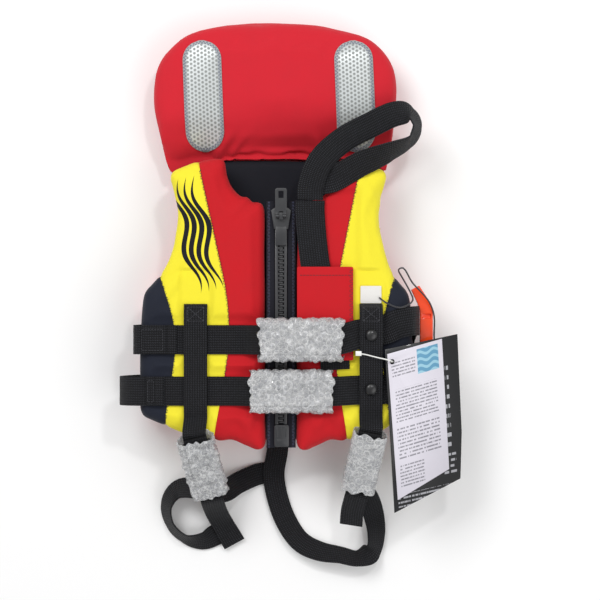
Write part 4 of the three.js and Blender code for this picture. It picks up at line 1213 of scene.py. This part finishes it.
def makeSleeve(name, matrix, width, length, node, seed, loft=1.0):
    # a sheet of wrap wound round the buckle, puckered at its ends
    half = width / 2 + 2.6 + 0.3 + 1.2
    thick = 4.5 + 0.3 + 1.2
    bm = bmesh.new()
    around, along = 72, int(length / 0.9)
    bmesh.ops.create_grid(bm, x_segments=around, y_segments=along, size=1)
    straightU, straightV = half - 4, thick - 4
    total = 4 * (straightU + straightV) + 2 * math.pi * 4
    for vert in bm.verts:
        s = (vert.co.x + 1) / 2 * total
        t = vert.co.y
        place, normal = roundedSection(s, half, thick, 4)
        x = t * length / 2 + 4
        cell = Vector((s / wrap["bubble"], x / wrap["bubble"], seed))
        row = math.floor(cell.y / 0.866)
        centreX = math.floor(cell.x - row * 0.5) + 0.5 + row * 0.5
        away = math.hypot(cell.x - centreX, cell.y - (row + 0.5) * 0.866)
        dome = max(0.0, 1 - (away / 0.42) ** 2) ** 0.5
        turned = Vector((math.cos(s / total * 2 * math.pi), math.sin(s / total * 2 * math.pi), 0)) * 2.4
        crumple = noise.noise(Vector((turned.x, turned.y, x * 0.13 + seed))) * wrap["crinkle"]
        sharper = Vector((turned.x * 2.4, turned.y * 2.4, x * 0.3 + seed * 3))
        crumple += abs(noise.noise(sharper)) * wrap["crinkle"]
        ragged = noise.noise(Vector((turned.x * 1.1, turned.y * 1.1, seed * 7))) * 3.4 * abs(t) ** 3
        blown = 0.4 + 0.6 * abs(noise.noise(cell * 0.7))  # some bubbles have lost air
        lift = wrap["lift"] * 0.5 + dome * wrap["height"] * blown + crumple
        side = 0.35 if normal.y < -0.5 else loft
        offset = max(-0.3, lift * side)
        end = x + (ragged if t > 0 else -ragged)
        vert.co = Vector((end, place.x + normal.x * offset, place.y + normal.y * offset))
    bmesh.ops.remove_doubles(bm, verts=bm.verts, dist=0.02)
    bm.transform(Matrix.Scale(mm, 4) @ matrix)
    bmesh.ops.recalc_face_normals(bm, faces=bm.faces)
    piece = meshObject(name, bm)
    wall = piece.modifiers.new("film", "SOLIDIFY")
    wall.thickness = 0.35 * mm
    wall.offset = 1
    applied(piece)
    finishPiece(piece, "jacket", bubbleWrap, "bubble_wrap", node)


def roundedSection(s, half, thick, radius):
    # walks a rounded rectangle by its length; gives the place and the way out
    corner = math.pi / 2 * radius
    runs = [(2 * (half - radius), Vector((1, 0)), Vector((-(half - radius), thick))),
            (2 * (thick - radius), Vector((0, -1)), Vector((half, thick - radius))),
            (2 * (half - radius), Vector((-1, 0)), Vector((half - radius, -thick))),
            (2 * (thick - radius), Vector((0, 1)), Vector((-half, -(thick - radius))))]
    for k, (run, way, start) in enumerate(runs):
        out = Vector((-way.y, way.x))
        if s <= run:
            return start + way * s, out
        s -= run
        if s <= corner or k == 3:
            turn = min(s / radius, math.pi / 2)
            centre = start + way * run - out * radius
            bent = out * math.cos(turn) + way * math.sin(turn)
            return centre + bent * radius, bent
        s -= corner
    return runs[0][2], Vector((0, 1))


bubbleWrap = wrapFinish()


def makeBuckles():
    for name in ("upper_buckle_socket", "upper_buckle_plug", "lower_buckle_socket", "lower_buckle_plug",
                 "crotch_buckle_left_socket", "crotch_buckle_left_plug", "crotch_buckle_right_socket",
                 "crotch_buckle_right_plug"):
        softened(name.replace("buckle", "clip"), "jacket", blackPlastic, "buckle_plastic", name, width=0.5)
    for beltName in ("upper", "lower"):
        for prong in ("lower", "upper"):
            softened(f"{beltName}_clip_prong_{prong}", f"{beltName}_prong_{prong}", blackPlastic,
                     "buckle_plastic", f"{beltName}_buckle_prong_{prong}", width=0.4)
    for stud in ("upper", "lower"):
        enamel = plastic(f"stud_enamel_{stud}", colour(26, 26, 28), 0.3)
        softened(f"stud_{stud}", "jacket", enamel, "buckle_plastic", f"press_stud_{stud}", width=0.5,
                 segments=3, angle=20)
    upper = Matrix.Translation((beltBuckles["upper"], beltLines["upper"], 77.8))
    lower = Matrix.Translation((beltBuckles["lower"], beltLines["lower"], 73.3))
    makeSleeve("upper_wrap", upper, 25, 71, "upper_sleeve", 1.3)
    makeSleeve("lower_wrap", lower, 25, 71, "lower_sleeve", 4.1)
    makeSleeve("left_wrap", leftCrotch, 20, 60, "crotch_sleeve_left", 7.7)
    makeSleeve("right_wrap", rightCrotch, 20, 60, "crotch_sleeve_right", 9.2, 0.3)


def makePocket():
    pocket = softened("loop_pocket_cover", "jacket", redShaded, "red_neoprene", "loop_pocket", width=0.6,
                      segments=3)
    start, end = low("loop_pocket"), high("loop_pocket")
    over = surfaceOf(pocket)
    inset = 2.2 * mm
    x0, x1, y0, y1 = start.x + inset, end.x - inset, start.y + inset, end.y - inset
    hem = [(x0, y1 - 5 * mm), ((x0 + x1) / 2, y1 - 5.1 * mm), (x1, y1 - 5 * mm)]
    stitches("pocket_hem_stitch", "jacket", hem, darkThread, over, pitch=2.6, length=1.9, thick=0.4,
             slot="red_neoprene")
    edge = x1 + 0.5 * mm
    stitches("pocket_edge_stitch", "jacket", [(edge, y0), (edge, (y0 + y1) / 2), (edge, y1)],
             redThread, over, pitch=2.0, length=1.3, thick=0.5, zigzag=1.5, slot="red_neoprene")


def ribbonFinish():
    finish = Finish("white_ribbon", 0.6, Sheen_Weight=0.3)
    x, y, z = finish.split(finish.place())
    rib = (x * (2 * math.pi / (0.7 * mm))).wave() * 0.5 + 0.5
    thread = (y * (2 * math.pi / (0.35 * mm))).wave() * 0.5 + 0.5
    finish.feed("Base Color", finish.mix(rib * thread * 0.5, colour(232, 230, 226), colour(196, 194, 190)))
    finish.bump(rib + thread * 0.4, 0.5, 0.2 * mm)
    return finish.material


def whistleFinish():
    finish = Finish("whistle_plastic", 0.18, Coat_Weight=0.6, Coat_Roughness=0.08)
    flow = finish.noise(35, 3, 0.5)
    grain = finish.noise(1500, 1, 0.5)
    finish.feed("Base Color", finish.mix(flow * 0.6, colour(255, 78, 12), colour(238, 52, 8)))
    finish.feed("Roughness", flow * 0.12 + 0.14)
    finish.bump(grain, 0.06, 0.05 * mm)
    return finish.material


# corners of each card from its upper left one, and its rows of bars: left, right, top, bottom, lines and gaps
whiteCorners = [(90.3, -46), (137.6, -33.1), (144.5, -145.3), (99.8, -171.1)]
blackCorners = [(88.6, -42.1), (151.4, -29.2), (155.7, -113.5), (154.8, -153.9), (97.2, -182.3)]
whiteRows = [(3, 24, 8, 22, 5, 0.9), (4, 42, 32, 60, 10, 0.8), (4, 42, 64, 92, 9, 0.75),
             (4, 26, 96, 116, 7, 0.8)]
blackRows = [(48, 54, 22, 96, 9, 0.7), (46, 57, 100, 120, 4, 0.5), (4, 55, 126, 137, 3, 0.8)]


def cardFinish(name, paper, ink, corners, rows, blue=None):
    # x and y across the card from its upper left corner, in metres
    finish = Finish(name, 0.42, Coat_Weight=0.15)
    a, b, d = Vector(corners[0]), Vector(corners[1]), Vector(corners[-1])
    right = (b - a).normalized()
    down = (d - a).normalized()
    x, y, z = finish.split(finish.place(1000.0))
    x, y = x - a.x, y - a.y
    det = right.x * down.y - right.y * down.x
    u = (x * down.y - y * down.x) / det
    v = (y * right.x - x * right.y) / det
    ground = finish.mix(finish.noise(45, 4, 0.6) * 0.25, paper, darker(paper, 0.8))
    for left, rightSide, top, bottom, lines, gaps in rows:
        inside = u.between(left, rightSide) * v.between(top, bottom)
        pitch = (bottom - top) / lines
        line = (v * (2 * math.pi / pitch)).wave().math("GREATER_THAN", 0.25)
        row = finish.node("ShaderNodeCombineXYZ", X=u * gaps, Y=(v / pitch).math("FLOOR") * 7.3)
        words = finish.node("ShaderNodeTexNoise", {"noise_dimensions": "2D"}, Vector=row, Scale=1.0,
                            Detail=1.0)
        ground = finish.mix(inside * line * words.math("GREATER_THAN", 0.43) * 0.75, ground, ink)
    if blue:
        left, rightSide, top, bottom = blue
        inside = u.between(left, rightSide) * v.between(top, bottom)
        waves = (v * 1.1 + (u * 0.5).wave() * 1.4).wave().math("GREATER_THAN", 0.2)
        square = finish.mix(waves, colour(96, 152, 184), colour(150, 196, 214))
        ground = finish.mix(inside, ground, square)
    finish.feed("Base Color", ground)
    finish.bump(finish.noise(500, 2, 0.5), 0.08, 0.1 * mm)
    return finish.material


def makeAccessories():
    softened("white_ribbon_loop", "jacket", ribbonFinish(), "white_ribbon", "ribbon_loop", width=0.3)
    softened("whistle_body", "jacket", whistleFinish(), "whistle_plastic", "whistle", width=1.2, segments=4,
             angle=25)
    pale = colour(218, 214, 224)
    grey = colour(96, 96, 104)
    white = cardFinish("white_card", pale, grey, whiteCorners, whiteRows, blue=(26, 45, 3, 24))
    softened("swing_card_white", "white_card", white, "white_card", "card_white", width=0.12, segments=1,
             angle=50)
    light = colour(190, 190, 196)
    black = cardFinish("black_card", colour(14, 15, 18), light, blackCorners, blackRows)
    softened("swing_card_black", "black_card", black, "black_card", "card_black", width=0.12, segments=1,
             angle=50)
    clear = plastic("clear_plastic", colour(236, 236, 232), 0.3, 0.05)
    softened("card_tie", "jacket", clear, "clear_plastic", "card_fastener", width=0.15, segments=1)


makeCamera()
makeLanyard()
makeStage()
print("camera, floor, lights and lanyard are made")
makeFront("left", -1)
makeFront("right", 1)
print("fronts are made")
makeBack()
makeCollar()
print("back and collar are made")
makeZip()
makeBelt("upper", beltLines["upper"], -18, beltBuckles["upper"], 71.8, 4)
makeBelt("lower", beltLines["lower"], -75, beltBuckles["lower"], 67.3, 16)
makeVerticalStrap("left", strapLines["left"], 70.2, leftCrotch)
makeVerticalStrap("right", strapLines["right"], overRightBelt, rightCrotch)
makeCrotchStraps()
makeLiftingLoop()
for side, strapX in strapLines.items():
    over = surfaceOf(bpy.data.objects[f"vertical_webbing_{side}"])
    boxStitch(f"strap_sewing_{side}", over, strapX - 7, strapX + 7, -18, -6)
for label, x0, x1 in (("upper", -119, -101), ("lower", -114, -109)):
    over = surfaceOf(bpy.data.objects[f"{label}_belt_tail"])
    boxStitch(f"{label}_belt_sewing", over, x0, x1, beltLines[label] - 9, beltLines[label] + 9, False)
print("zip, belts and straps are made")
makeBuckles()
makePocket()
makeAccessories()
print("buckles, wrap, pocket and cards are made")
